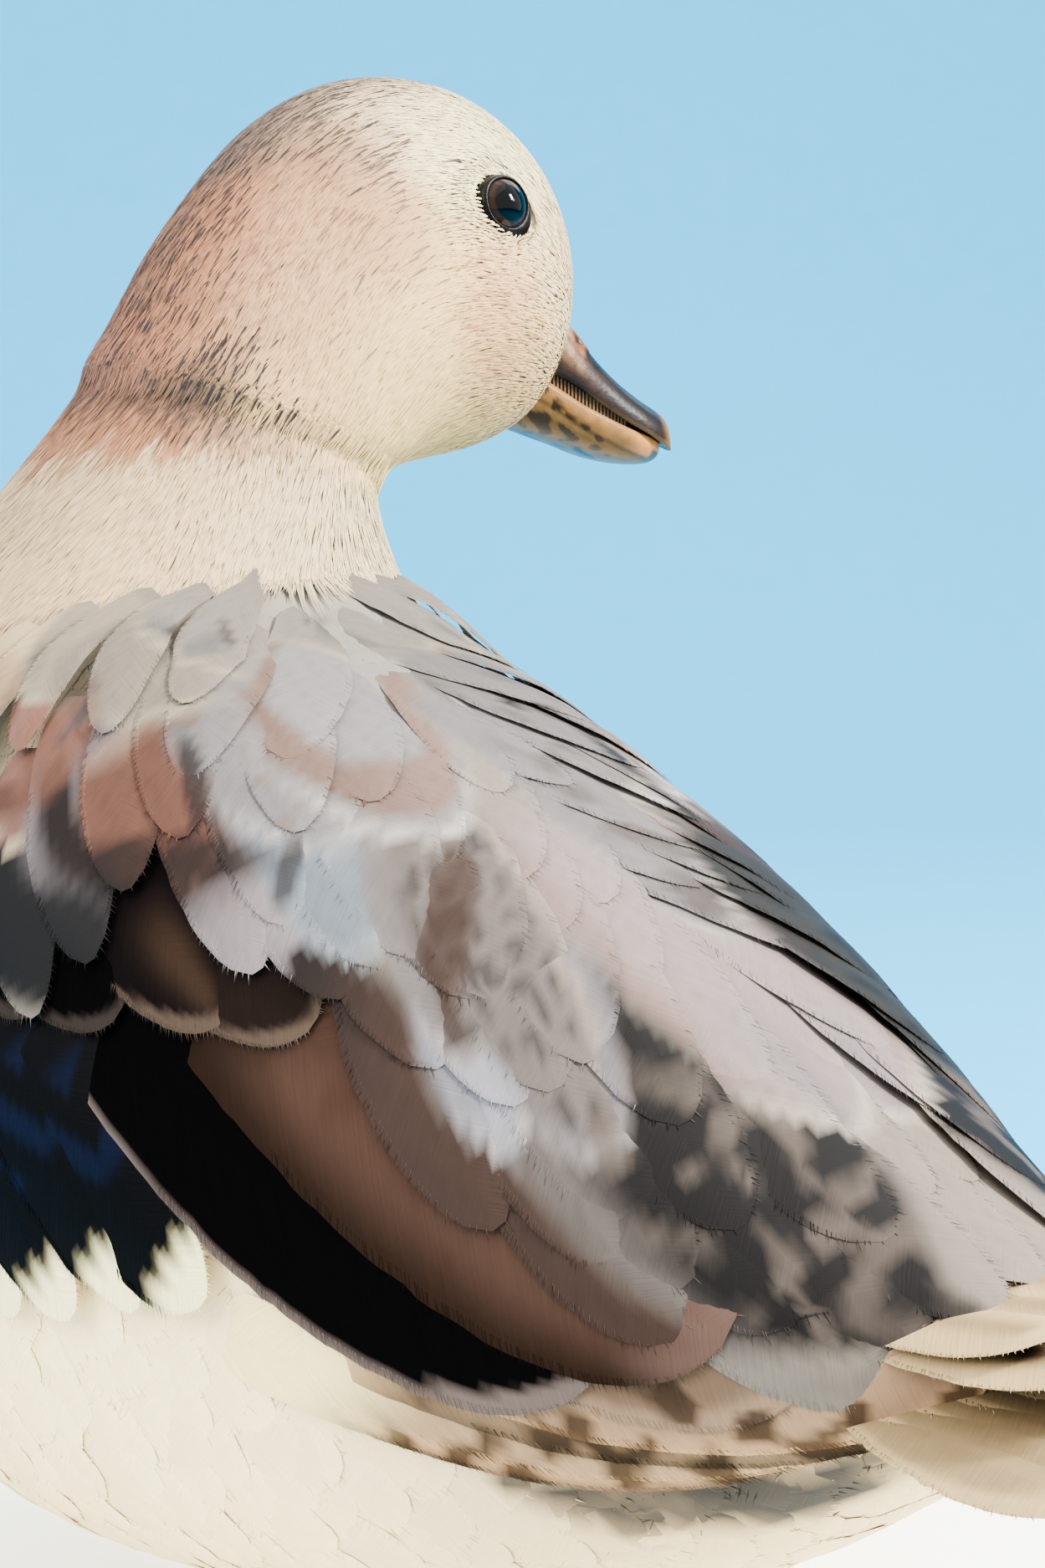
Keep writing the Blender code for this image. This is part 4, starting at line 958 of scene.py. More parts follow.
def stack_vanes(pile, top, under, colour, bake, length, half, columns, rng):
    """Puts vanes on a pile: their grids, colours (vanes, rows, columns, 3) and barb map."""
    n, rows = top.shape[:2]
    t = np.linspace(0, 1, rows)
    pick = edges_and_middle(columns)
    across = np.abs(columns) * half[..., None] * 1000
    slant = (t * length[:, None])[..., None] * 1000 - across * 0.9
    own = rng.uniform(0, 400, (n, 1, 1)) + np.zeros_like(across)
    barb = np.stack((slant + own, across), -1)
    points = np.concatenate((top.reshape(n, -1, 3), under.reshape(n, -1, 3)), 1)
    # The underside is darker than the top: painted shade under each vane
    colours = np.concatenate((colour.reshape(n, -1, 3), colour[:, :, pick].reshape(n, -1, 3) * 0.85), 1)
    if bake.ndim == 2:
        s_grid, t_grid = np.meshgrid(columns / np.abs(columns).max(), 2 * t - 1)
        bake = bake[:, None, None] + np.stack((s_grid, t_grid), -1) * PATCH
    bakes = np.concatenate((bake.reshape(n, -1, 2), bake[:, :, pick].reshape(n, -1, 2)), 1)
    barbs = np.concatenate((barb.reshape(n, -1, 2), barb[:, :, pick].reshape(n, -1, 2)), 1)
    heap(pile, points, vane_faces(rows, len(columns)), colours, bakes, barbs)

# %% Loose barb ends
BLADE_FACES = np.array(((0, 1, 3), (1, 2, 3), (2, 0, 3), (0, 2, 1)))
BLADE_SPREAD = np.array(((-1, 0), (1, 0), (0, -1), (0, 1)))
# How much of a barb's way is along the vane and out from it, and how much it strays
BARB_ALONG, BARB_OUT, BARB_STRAY = 0.95, 0.28, 0.07


def fringe(pile, top, colour, bake, count, reach, width, start, rng):
    """Loose barb ends along both rims of vanes, from start to the tip, mostly along the vane."""
    n, rows, columns = top.shape[:3]
    for rim, inner in ((0, 1), (columns - 1, columns - 2)):
        step = (1 - start) * (np.arange(count) + rng.uniform(0, 1, (n, count))) / count
        at = (rows - 1.001) * (start + step)
        i = at.astype(int)
        share = (at - i)[..., None]
        pick = np.arange(n)[:, None]
        inside = top[pick, i, inner] * (1 - share) + top[pick, i + 1, inner] * share
        spot = top[pick, i, rim] * (1 - share) + top[pick, i + 1, rim] * share
        after, before = np.minimum(i + 1, rows - 1), np.maximum(i - 1, 0)
        ahead = top[pick, after, columns // 2] - top[pick, before, columns // 2]
        ahead /= np.linalg.norm(ahead, axis=-1, keepdims=True) + 1e-12
        out = spot - top[pick, i, columns // 2]
        out /= np.linalg.norm(out, axis=-1, keepdims=True) + 1e-12
        way = ahead * BARB_ALONG + out * BARB_OUT + rng.normal(0, BARB_STRAY, out.shape)
        way /= np.linalg.norm(way, axis=-1, keepdims=True)
        size = reach[:, None, None] * rng.uniform(0.3, 1.2, (n, count, 1))
        root = spot * 0.35 + inside * 0.65
        thick = np.cross(way, out)
        thick /= np.linalg.norm(thick, axis=-1, keepdims=True) + 1e-12
        flat = np.cross(thick, way) * width / 2
        points = np.stack((root - flat, root + flat, root - thick * width * 0.3, spot + way * size), 2)
        tone = colour[pick, i, rim] * rng.uniform(0.97, 1.03, (n, count, 1))
        patch = (bake[:, None] if bake.ndim == 2 else bake[pick, i, rim])
        patch = np.broadcast_to(patch, (n, count, 2)).reshape(-1, 1, 2) + BLADE_SPREAD * PATCH * 0.4
        heap(pile, points.reshape(-1, 4, 3), BLADE_FACES, np.repeat(tone.reshape(-1, 1, 3), 4, 1), patch)


print("a loose barb has", len(BLADE_FACES), "triangles")

# %% [markdown]
# Some dark marks of the plumage run across several feathers, and painting one feather at a time would
# break them up. So a mark is a soft oval on the net, and every vane under it takes its share.

# %% Marks across feathers
# Marks painted across neighbouring feathers: station, degrees (positive on her left), half length and
# half width in mm, degrees it is turned from the body's line towards the belly, tone and strength
MARKS = (
    ("covert_black", 6.35, 61, 13, 7.0, 0, "#0c0a0b", 0.98),
    ("rump_a", 2.2, 112, 14, 5, 12, "#3a2c22", 0.9),
    ("rump_b", 1.6, 122, 12, 4, 10, "#2b221c", 0.9),
    ("rump_c", 3.0, 108, 7, 2.8, 15, "#6a5440", 0.7),
    ("stripe", 5.9, 46.5, 15, 3.2, -28, "#2f1d15", 0.92),
    ("streak_g", 4.5, 31, 12, 3.0, 48, "#54392c", 0.85),
    ("rufous_small", 7.75, 43, 8, 6, 60, "#a9765d", 0.75),
    ("dash_f", 6.08, 37, 8, 1.3, 40, "#2a211f", 0.85),
    ("dash_f_low", 5.75, 39, 4, 1.2, 30, "#2f2522", 0.75),
    ("dash_h", 5.30, 39, 5, 1.4, 55, "#33231d", 0.80),
    ("line_blue", 7.9, 39, 4, 0.7, 70, "#585c6c", 0.6),
    ("dash_b", 8.6, 22, 2.2, 0.8, 80, "#25201e", 0.85),
    ("marks_c", 7.8, 16, 2.6, 0.9, 20, "#4a4340", 0.7),
    ("line_d", 8.0, 0, 3.5, 0.7, 80, "#4c443f", 0.6),
    ("dot_j", 5.9, -13, 2.0, 1.3, 0, "#1d1816", 0.9),
    ("dash_k", 5.3, -21, 5.5, 1.5, -10, "#231d1b", 0.9),
    ("dash_l", 4.9, -22, 5.0, 1.6, -10, "#231d1b", 0.9),
    ("patch_l", 4.1, -8, 6, 3, -10, "#6c5f58", 0.7),
    ("spot_p", 0.4, 54, 5, 2.2, 50, "#1f1813", 0.9),
    ("rump_1", 3.4, 89, 3.0, 2.0, 0, "#2b221c", 0.85),
    ("rump_2", 3.05, 86, 3.0, 2.0, 20, "#2b221c", 0.85),
    ("rump_3", 3.3, 102, 3.6, 2.4, 10, "#1e1814", 0.9),
    ("rump_4", 2.95, 106, 4.0, 2.6, 20, "#1e1814", 0.9),
    ("rump_5", 2.1, 106, 7.0, 3.0, 15, "#17120f", 0.9),
    ("rump_6", 2.6, 116, 5.0, 2.6, 10, "#2b221c", 0.8),
    ("rump_7", 1.4, 128, 7.0, 3.2, 10, "#17120f", 0.85),
    ("rump_8", 0.9, 112, 6.0, 2.8, 15, "#2b221c", 0.85),
    ("rump_9", 1.9, 92, 4.0, 2.4, 15, "#33291f", 0.8),
)
# Marks this near the middle of the back are single; the others are mirrored on her right side
SINGLE_MARKS_WITHIN = 24
print("marks:", len(MARKS))


def paint_marks(colour, u, v):
    speed = sample(SPEED, u, v)
    for _, station, degrees, long, wide, turn, tone, strength in MARKS:
        lean = math.radians(turn)
        for side in ((1,) if abs(degrees) < SINGLE_MARKS_WITHIN else (1, -1)):
            down = ((v - math.radians(degrees) * side + math.pi) % TURN - math.pi) * side
            down = down * speed[..., 1] * 1000
            back = (station - u) * speed[..., 0] * 1000
            along = back * math.cos(lean) + down * math.sin(lean)
            aside = down * math.cos(lean) - back * math.sin(lean)
            oval = smooth_step(np.hypot(along / long, aside / wide), 0.7, 1.35)
            colour = touched(colour, pigment(tone), strength * (1 - oval))
    return colour

# %% [markdown]
# The body's contour feathers stand in staggered rows, like shingles, each tip over the roots
# behind it. An array along a surface would copy one feather, so it would look printed; rows of
# equal steps with a little seeded change in place, size and turn look grown. A few feathers of
# mantle, breast and rump carry a dark spot of their own.

# %% Rows of shingles
# Steps between feathers along and round the body, and a feather's length and half width, in metres
SHINGLE, SHINGLE_SIDE = 0.0060, 0.0072
CONTOUR_LENGTH, CONTOUR_HALF = 0.0210, 0.0072
CONTOUR_ROWS = 9
CONTOUR_COLUMNS = np.array((-1, -0.6, 0, 0.6, 1))
# The power by which a feather rises from the skin, and the height of its dome in metres
CONTOUR_RISE, CONTOUR_DOME = 0.45, 0.0003
SPOT_DARK, SPOT_BROWN = pigment("#2b2320"), pigment("#8a6a4c")
# The back faces the brightest part of the studio, so its tones are darkened by this share: painted shade
BACK_PAINTED_SHADE = 0.38
# Where feathers carry a dark mark: station, degrees, reaches, share of feathers
SPOTTED = (
    ("mantle", 9.0, 10, 1.4, 24, 0.07),
    ("rump_side", 2.6, 98, 0.9, 14, 0.35),
    ("rump", 1.2, 40, 0.9, 30, 0.20),
    ("breast", 10.0, 180, 1.0, 50, 0.28),
)
RING = 720


def shingle_addresses(rng):
    """Roots in rows round the body, each row shifted by half a step from the last."""
    us, vs = [], []
    u, odd = 0.10, 0
    while u < NECK_BASE + 0.5:
        around = np.arange(RING) * TURN / RING
        speed = sample(SPEED, np.full(RING, u), around)
        count = int(round(speed[:, 1].sum() * TURN / RING / SHINGLE_SIDE))
        spent = np.concatenate(((0,), np.cumsum(speed[:, 1]))) / speed[:, 1].sum()
        places = (np.arange(count) + 0.5 * odd) / count
        angles = np.interp(places % 1.0, spent, np.arange(RING + 1) * TURN / RING)
        us.append(u + rng.normal(0, 0.05, count))
        vs.append(angles + rng.normal(0, 0.018, count))
        u += SHINGLE / np.percentile(speed[:, 0], 75)
        odd = 1 - odd
    return np.clip(np.concatenate(us), 0.05, None), np.concatenate(vs)

# %% Contour feathers of the body


def dark_spots(u, off_back, t, rng):
    n = len(u)
    chance = np.zeros(n)
    for row in SPOTTED:
        chance = np.maximum(chance, row[-1] * nearness(u, off_back, row))
    marked = rng.random(n) < chance
    at, wide, lean = rng.uniform(0.6, 0.86, n), rng.uniform(0.10, 0.22, n), rng.uniform(-0.4, 0.4, n)
    bold = np.interp(off_back, (40, 85), (0.5, 1.5))
    away = (((t[None, :, None] - at[:, None, None]) / (0.08 * bold[:, None, None])) ** 2
            + ((CONTOUR_COLUMNS - lean[:, None, None]) / (wide * bold * 1.7)[:, None, None]) ** 2)
    return np.clip(1.6 - away, 0, 1) * marked[:, None, None]


def contour_feathers():
    rng = np.random.default_rng(11)
    u, v = shingle_addresses(rng)
    n = len(u)
    t = np.linspace(0, 1, CONTOUR_ROWS)
    large = np.interp(u, (0, 2, 4, 9.5, 11.5), (0.8, 1.0, 1.12, 1.0, 0.62))
    length = CONTOUR_LENGTH * large * rng.uniform(0.9, 1.12, n)
    turn = rng.normal(0, 0.09, n)
    us, vs = walk(u, v, turn, length, CONTOUR_ROWS)
    half = (CONTOUR_HALF * large * rng.uniform(0.9, 1.12, n))[:, None] * outline(t, 0.5)
    half *= 1 + rng.normal(0, 0.02, half.shape)
    deep = coat_depth(u) * 0.85
    heights = -deep[:, None] + (deep + rng.uniform(-0.00012, 0.00012, n))[:, None] * t**CONTOUR_RISE
    tilt = rng.normal(0, 0.012, n)
    top, under, (grid_u, grid_v) = lay(us, vs, half, heights, CONTOUR_COLUMNS, tilt, CONTOUR_DOME)
    base = plumage(grid_u - 0.2, grid_v) * rng.normal(1.0, 0.028, (n, 1, 1, 1))
    rim = rim_nearness(t[:, None], CONTOUR_COLUMNS)
    # Painted shade: darker on the back, against the light from above, and towards each root, under the others
    back_shade_mask = smooth_step(np.cos(grid_v), -0.1, 0.6) * (1 - smooth_step(grid_u, 9.6, 11.4))
    colour = base * (0.93 + 0.09 * t)[:, None, None] * (1 - BACK_PAINTED_SHADE * back_shade_mask)[..., None]
    pale = smooth_step(rim, 0.74, 0.98)[None, ..., None] * 0.10
    colour = np.clip(colour * (1 + pale), 0, 0.9)
    spot = dark_spots(u, angle_gap(np.degrees(v), 0), t, rng)
    dark = SPOT_DARK + (SPOT_BROWN - SPOT_DARK) * rng.uniform(0, 0.5, (n, 1, 1, 1))
    colour = touched(colour, dark, spot)
    colour = paint_marks(colour, grid_u, grid_v)
    bake = bake_spot(u, v)
    halves = np.array_split(np.arange(n), 2)
    for name, pick in zip(("contour_feathers_rear", "contour_feathers_front"), halves):
        pile = new_pile()
        stack_vanes(pile, top[pick], under[pick], colour[pick], bake[pick], length[pick], half[pick],
                    CONTOUR_COLUMNS, rng)
        fringe(pile, top[pick], colour[pick], bake[pick], 10, np.full(len(pick), 0.0014), 0.00030, 0.5, rng)
        pour(name, pile, contour_keratin, "body_plumage")
    return n


print("contour feathers:", contour_feathers())

# %% [markdown]
# The folded wing has two kinds of feather. The large flight feathers come first: black coverts lie
# over the blue-black speculum, and a long brown tertial crosses the flank to the rump. They could be
# modelled one by one, but as rows of a table, with root and tip on the net, the other wing is the
# same rows mirrored. The pattern words say how the tones are laid within a vane.

# %% Flight feathers
WING_COLUMNS = np.linspace(-1, 1, 17)
WING_ROWS = 52
WING_TILT, WING_DOME = 0.035, 0.0003
RIGHT_WING_LOWER = 0.0004
BLACK, LINE = "#0b0a0b", "#463c36"
BLACK_VANE = (("rim", 0.93, 1.0, LINE),)
# The secondaries' blue streaks are partly the speculum's own iridescent blue, partly painted sheen
SECONDARY = (("tip", 0.84, 0.93, "#e3dccc"), ("barbs", 0.30, 0.66, "#101830"))
# Name, root and tip (station, degrees), half width mm, height of root and tip mm, tone, and layers.
# A layer is what it is measured by, where it starts and is full, and its tone; a band runs inside
# the rim from its first tone, on the belly's side, to its second.
FLIGHT_FEATHERS = (
    ("primary_1", (5.6, 92), (1.3, 95), 7.5, 0.8, 1.8, "#cdb898",
     (("low", 0.7, 1.0, "#a78d6e"), ("blots", -0.15, 0.2, "#2b211a"), ("start", 0.46, 0.26, "#e4dac6"))),
    ("primary_2", (5.4, 89), (0.7, 90), 7.5, 1.0, 2.0, "#c2ae90",
     (("rim", 0.85, 1.0, "#cdba9c"), ("blots", -0.1, 0.25, "#2b211a"), ("start", 0.40, 0.22, "#e4dac6"))),
    ("primary_3", (5.2, 86), (0.3, 84), 7.5, 1.3, 2.3, "#bfa98a",
     (("low", 0.6, 1.0, "#8f785c"), ("blots", -0.1, 0.25, "#241b15"), ("start", 0.34, 0.18, "#d8c8ae"))),
    ("primary_4", (5.0, 82), (0.1, 76), 7.5, 1.6, 2.6, "#bda687",
     (("rim", 0.85, 1.0, "#cdb898"), ("blots", 0.1, 0.35, "#33271d"))),
    ("secondary_1", (9.2, 70), (7.35, 98), 9.5, 1.0, 2.6, BLACK, SECONDARY),
    ("secondary_2", (8.7, 69), (6.85, 97.5), 9.5, 1.1, 2.7, BLACK, SECONDARY),
    ("secondary_3", (8.2, 68), (6.35, 97), 9.5, 1.2, 2.8, BLACK, SECONDARY),
    ("secondary_4", (7.7, 67), (5.90, 95), 9.5, 1.3, 2.9, BLACK, SECONDARY),
    ("secondary_5", (7.2, 66), (5.45, 92), 9.5, 1.4, 3.0, BLACK, SECONDARY),
    ("secondary_6", (6.8, 64), (5.00, 89), 9.5, 1.5, 3.1, BLACK, SECONDARY),
    ("under_tertial", (5.4, 68), (1.4, 78), 9.0, 1.7, 2.9, "#93785f",
     (("rim", 0.80, 0.98, "#b39c82"), ("blots", 0.1, 0.4, "#3f3026"))),
    ("black_tertial", (6.6, 61), (2.75, 81), 12.0, 2.0, 3.4, BLACK, (("rim", 0.95, 1.0, "#8c7a72"),)),
    ("brown_tertial", (6.1, 50), (2.0, 68), 14.0, 2.3, 3.8, "#664a3d",
     (("blots", 0.0, 0.7, "#5f4336"), ("start", 0.40, 0.20, "#2a1f1a"), ("low", 0.35, 1.0, "#33241c"),
      ("tip", 0.84, 0.98, "#7a5f53"))),
    ("covert_1", (9.9, 60), (8.35, 78), 10.0, 1.0, 2.8, BLACK, BLACK_VANE),
    ("covert_2", (9.3, 57), (7.7, 75), 10.0, 1.2, 3.0, BLACK, BLACK_VANE),
    ("covert_3", (8.7, 54), (7.05, 72), 10.0, 1.4, 3.2, BLACK, BLACK_VANE),
    ("covert_4", (8.1, 52), (6.4, 68.5), 10.0, 1.6, 3.3, BLACK, BLACK_VANE),
    ("covert_5", (7.6, 49), (5.8, 64.5), 10.0, 1.8, 3.4, BLACK, BLACK_VANE),
    ("covert_6", (7.1, 46), (5.2, 58.5), 10.0, 1.9, 3.5, "#181314",
     (("streak", 0.55, 0.8, "#4b382c"), ("rim", 0.92, 1.0, "#6d5a4c"))),
    ("covert_7", (6.4, 44), (4.75, 53), 9.5, 2.0, 3.6, "#2a201c", (("rim", 0.90, 1.0, "#6d5a4c"),)),
)
print("flight feathers of a wing:", len(FLIGHT_FEATHERS))

# %% [markdown]
# The feathers of shoulder and back are small and many, and bands of rufous, grey and brown run on from
# one to the next. So their colours are a second table, of patches as a painter would lay them on,
# and each small feather takes its tones from the patches that it lies on.

# %% Patches of shoulder and back
# Patches of colour that run across the small feathers of shoulder and back, the lowest first: name,
# root and tip (station, degrees), half width mm, tone, and layers
SHOULDER_PATCHES = (
    ("over_coverts", (8.6, 57), (5.2, 62), 10.0, "#141112", ()),
    ("over_tertial", (5.6, 52), (2.1, 68), 14.0, "#5c4134", (("start", 0.42, 0.18, "#2b1f1a"),)),
    ("grey_beige", (3.7, 42), (1.25, 65), 8.0, "#8d8078",
     (("blots", 0.2, 0.6, "#6a5e55"), ("rim", 0.80, 0.98, "#a2968a"))),
    ("mottled", (4.1, 14), (0.5, 59), 15.0, "#15100d",
     (("blots", 0.08, 0.42, "#85766a"), ("start", 0.16, 0.04, "#8f8a90"), ("rim", 0.92, 1.0, "#5a5048"))),
    ("long_pale", (4.5, 33), (3.5, 54), 6.5, "#b3b0b5",
     (("streak", 0.35, 0.6, "#c1bdc2"), ("rim", 0.80, 1.0, "#c6c1c0"))),
    ("rufous_long", (4.3, 24), (3.05, 47), 7.0, "#a39b9d",
     (("streak", 0.30, 0.5, "#866d61"), ("rim", 0.86, 1.0, "#b9b1ae"))),
    ("shoulder_1", (11.4, 50), (9.0, 68), 14.0, "#d6cbb8", (("rim", 0.8, 1.0, "#e0d6c6"),)),
    ("shoulder_2", (10.2, 46), (8.3, 60), 12.0, "#cdbca6",
     (("blots", 0.1, 0.5, "#a98c76"), ("rim", 0.8, 1.0, "#ddd2c2"))),
    ("rufous_1", (9.0, 36), (7.0, 53), 12.0, "#b89481",
     (("band", 0.50, 0.74, "#94634f", "#8c6350"), ("rim", 0.84, 0.98, "#d5cabd"))),
    ("stripe", (7.6, 37), (5.0, 49.5), 18.0, "#a09493",
     (("band", 0.34, 0.62, "#2c1b14", "#6f4535"), ("rim", 0.66, 0.80, "#b7adad"))),
    ("blue_grey", (6.0, 24), (4.66, 42), 8.5, "#a7acb2", (("rim", 0.85, 1.0, "#bcbcbe"),)),
    ("brown_streak", (5.4, 17), (3.93, 46), 6.5, "#a69d9a",
     (("streak", 0.28, 0.45, "#4b352b"), ("rim", 0.90, 1.0, "#bfb7b4"))),
    ("peppered", (5.4, 15), (3.25, 44), 8.0, "#9a8f87",
     (("pepper", 0.45, 1, "#453b36"), ("top", 0.70, 0.98, "#cdc3b8"))),
    ("rufous_2", (7.1, 36), (5.65, 46), 9.5, "#94634f",
     (("start", 0.30, 0.12, "#b9a594"), ("low", 0.3, 1.0, "#a8745c"), ("rim", 0.90, 1.0, "#c0a797"))),
    ("grey_white", (7.2, 15), (5.15, 32.5), 12.0, "#aba6a5",
     (("blots", 0.1, 0.45, "#a48c7c"), ("rim", 0.86, 1.0, "#c3bfbf"))),
    ("mantle_4", (10.6, 28), (8.3, 40), 14.0, "#bfb6a8",
     (("blots", 0.3, 0.8, "#a59688"), ("rim", 0.84, 1.0, "#cbc3b6"))),
    ("mantle_3", (9.4, 24), (7.2, 36), 13.0, "#b4aa9d",
     (("blots", 0.2, 0.7, "#9a8b7f"), ("rim", 0.84, 1.0, "#c6beb2"))),
    ("mantle_2", (9.3, 10), (7.0, 22), 15.0, "#b3aca3",
     (("blots", 0.3, 0.8, "#96918f"), ("rim", 0.84, 1.0, "#c4bcb0"))),
    ("crescent", (7.1, 2), (4.9, 24.0), 15.0, "#b4b0b0",
     (("band", 0.58, 0.86, "#a58b7b", "#ad968a"), ("rim", 0.92, 1.0, "#cbc5c3"))),
    ("rump_long", (5.0, 3), (2.1, 11), 14.5, "#b9aeac",
     (("streak", 0.5, 0.8, "#a9a0a0"), ("low", 0.45, 0.8, "#b39f96"), ("rim", 0.86, 1.0, "#c8c1bb"))),
)
# Patches on the middle of the back and the right wing, which lie where they are written on both sides
BACK_PATCHES = (
    ("back_3", (9.0, -4), (6.6, -4), 16.0, "#b0a9a0",
     (("blots", 0.2, 0.6, "#8f8983"), ("rim", 0.84, 1.0, "#c4bcb0"))),
    ("back_2", (6.9, -12), (4.9, -15), 13.0, "#a29c99",
     (("blots", 0.1, 0.5, "#7d746c"), ("rim", 0.84, 1.0, "#c0bab5"))),
    ("right_dark", (4.8, -22), (2.6, -46), 17.0, "#37342f",
     (("blots", 0.1, 0.5, "#1b1917"), ("rim", 0.84, 1.0, "#5c5852"))),
    ("back_1", (6.1, -3), (3.75, -8), 9.0, "#a7a1a0",
     (("blots", 0.1, 0.5, "#857972"), ("rim", 0.86, 1.0, "#c4beba"))),
)
PLAIN_BACK = "#b3aaa0"
print("patches:", len(SHOULDER_PATCHES) + len(BACK_PATCHES))

# %% Tones within a vane


def vane_colours(row, t, s, spots, rng):
    """The tones at t along and s across one feather or patch of a table. s is 1 on the belly's side."""
    tone, layers = row[-2:]
    colour = pigment(tone) * np.ones(t.shape + (1,))
    rim = rim_nearness(t, s) + 0.02 * np.sin(t * 19 + s * 3 + rng.uniform(0, 6))
    for layer in layers:
        kind, low, high = layer[:3]
        fresh = pigment(layer[3])
        if kind == "rim":
            amount = smooth_step(rim, low, high)
        elif kind == "band":
            amount = smooth_step(rim, low - 0.05, low + 0.06)
            amount = amount * (1 - smooth_step(rim, high - 0.04, high + 0.06))
            fresh = fresh + (pigment(layer[4]) - fresh) * smooth_step(-s, -0.35, 0.35)[..., None]
        elif kind == "tip":
            amount = smooth_step(t + 0.015 * np.sin(s * 11), low, high)
        elif kind == "start":
            amount = 1 - smooth_step(t + 0.05 * np.abs(s), high, low)
        elif kind == "low":
            amount = smooth_step(s, low, high)
        elif kind == "top":
            amount = smooth_step(-s, low, high)
        elif kind == "streak":
            amount = np.exp(-((s / 0.36) ** 2)) * smooth_step(t, low, high) * (1 - smooth_step(t, 0.92, 1.0))
        elif kind == "blots":
            amount = smooth_step(clumps(spots, 0.0034), low, high) * smooth_step(t, 0.15, 0.4) * 0.85
        elif kind == "pepper":
            amount = smooth_step(clumps(spots, 0.0012), 0.15, 0.45) * low * 1.6
        else:
            # Blue streaks across the barbs: partly the speculum's own iridescent blue, partly painted sheen
            streaks = smooth_step(np.sin(22 * (t + 0.22 * np.abs(s)) + 2 * s), -0.2, 0.6)
            amount = smooth_step(t, low, low + 0.08) * (1 - smooth_step(t, high - 0.05, high)) * streaks
        colour = touched(colour, fresh, amount)
    return colour


def place_on(row, u, v):
    """How far along and across a row's shaft each address lies, in its own lengths, then length and angle."""
    (u0, d0), (u1, d1), half_mm = row[1:4]
    v0, v1 = math.radians(d0), math.radians(d1)
    speed = sample(SPEED, np.array([(u0 + u1) / 2]), np.array([(v0 + v1) / 2]))[0]
    long, down = (u0 - u1) * speed[0], (v1 - v0) * speed[1]
    length = math.hypot(long, down)
    x, y = (u0 - u) * speed[0], (v - v0) * speed[1]
    t = (x * long + y * down) / length**2
    s = (y * long - x * down) / length / (half_mm / 1000 * outline(np.clip(t, 0, 1), 0.58, 0.5))
    return t, s, length, math.atan2(down, long)


def shoulder_tones(u, v, side, spots, rng):
    """The tones that the patches lay down at these addresses."""
    colour = pigment(PLAIN_BACK) * np.ones(u.shape + (1,))
    rows = [(row, side) for row in SHOULDER_PATCHES] + [(row, 1) for row in BACK_PATCHES]
    for row, mirror in rows:
        t, s, _, _ = place_on(row, u, v * mirror)
        inside = smooth_step(1 - np.abs(s), -0.04, 0.28)
        inside = inside * smooth_step(t, -0.02, 0.1) * (1 - smooth_step(t, 0.97, 1.02))
        fresh = vane_colours(row, np.clip(t, 0, 1), np.clip(s, -1, 1), spots, rng)
        colour = touched(colour, fresh, inside)
    return colour


def lie_of_shoulder(u, v):
    total, turn = 1e-9, 0
    for row in SHOULDER_PATCHES:
        t, s, length, angle = place_on(row, u, v)
        off = ((t - 0.5) * length / 0.016) ** 2 + (s * row[3] / 12) ** 2
        weight = np.exp(-off) + 1e-6 * np.exp(-off / 9)
        total, turn = total + weight, turn + weight * angle
    return turn / total

# %% Where the small feathers stand
# Steps between them along and down, their length and half width, and how deep their roots and how
# high their tips are, all in metres
SHOULDER_STEP, SHOULDER_SIDE_STEP = 0.0125, 0.0078
SHOULDER_LENGTH, SHOULDER_HALF = 0.036, 0.0066
SHOULDER_SINK, SHOULDER_RISE = 0.0013, 0.0002
# Station, and the degrees between which the small feathers of the shoulder are rooted
SHOULDER_SPAN = ((11.0, 8, 54), (10.0, -2, 52), (9.0, -4, 48), (8.0, -4, 45), (7.0, -5, 38), (6.2, -6, 33),
                 (5.6, -6, 30), (5.0, -6, 34), (4.2, -5, 42), (3.4, -4, 46), (2.6, -3, 52))
# Degrees from the back, and the height there in mm of the shoulder's feathers over the body
SHOULDER_HEIGHTS = ((-15, 0, 12, 28, 90), (0.3, 0.8, 1.8, 4.4, 4.4))
# Stations, and the share of that height there, since the cover runs out at both ends
SHOULDER_FALLS = ((0.5, 3.0, 9.5, 12.0), (0.45, 1, 1, 0.2))
# The back faces the brightest part of the studio, so the shoulder's tones are darkened still more: painted
# shade
SHOULDER_PAINTED_SHADE = 0.585
SHOULDER_ROWS, SHOULDER_COLUMNS = 20, np.linspace(-1, 1, 11)
# How much of its tones a feather takes from its own middle, so that a patch steps at each edge
OWN_TONE = 0.2


def shoulder_roots(rng):
    stations = [row[0] for row in SHOULDER_SPAN][::-1]
    us, vs = [], []
    odd, since = 0, SHOULDER_STEP
    for u in np.arange(SHOULDER_SPAN[0][0], SHOULDER_SPAN[-1][0], -0.02):
        low, high = (math.radians(np.interp(u, stations, [row[k] for row in SHOULDER_SPAN][::-1]))
                     for k in (1, 2))
        along, wide = sample(SPEED, np.array([u]), np.array([(low + high) / 2]))[0]
        since += along * 0.02
        if since < SHOULDER_STEP:
            continue
        since = 0
        count = max(2, int(round((high - low) * wide / SHOULDER_SIDE_STEP)))
        places = low + (high - low) * (np.arange(count) + 0.5 * odd) / (count - 0.5)
        vs.append(places + rng.normal(0, 0.012, count))
        us.append(u + rng.normal(0, 0.07, count))
        odd = 1 - odd
    return np.concatenate(us), np.concatenate(vs)

# %% Small feathers of the shoulder


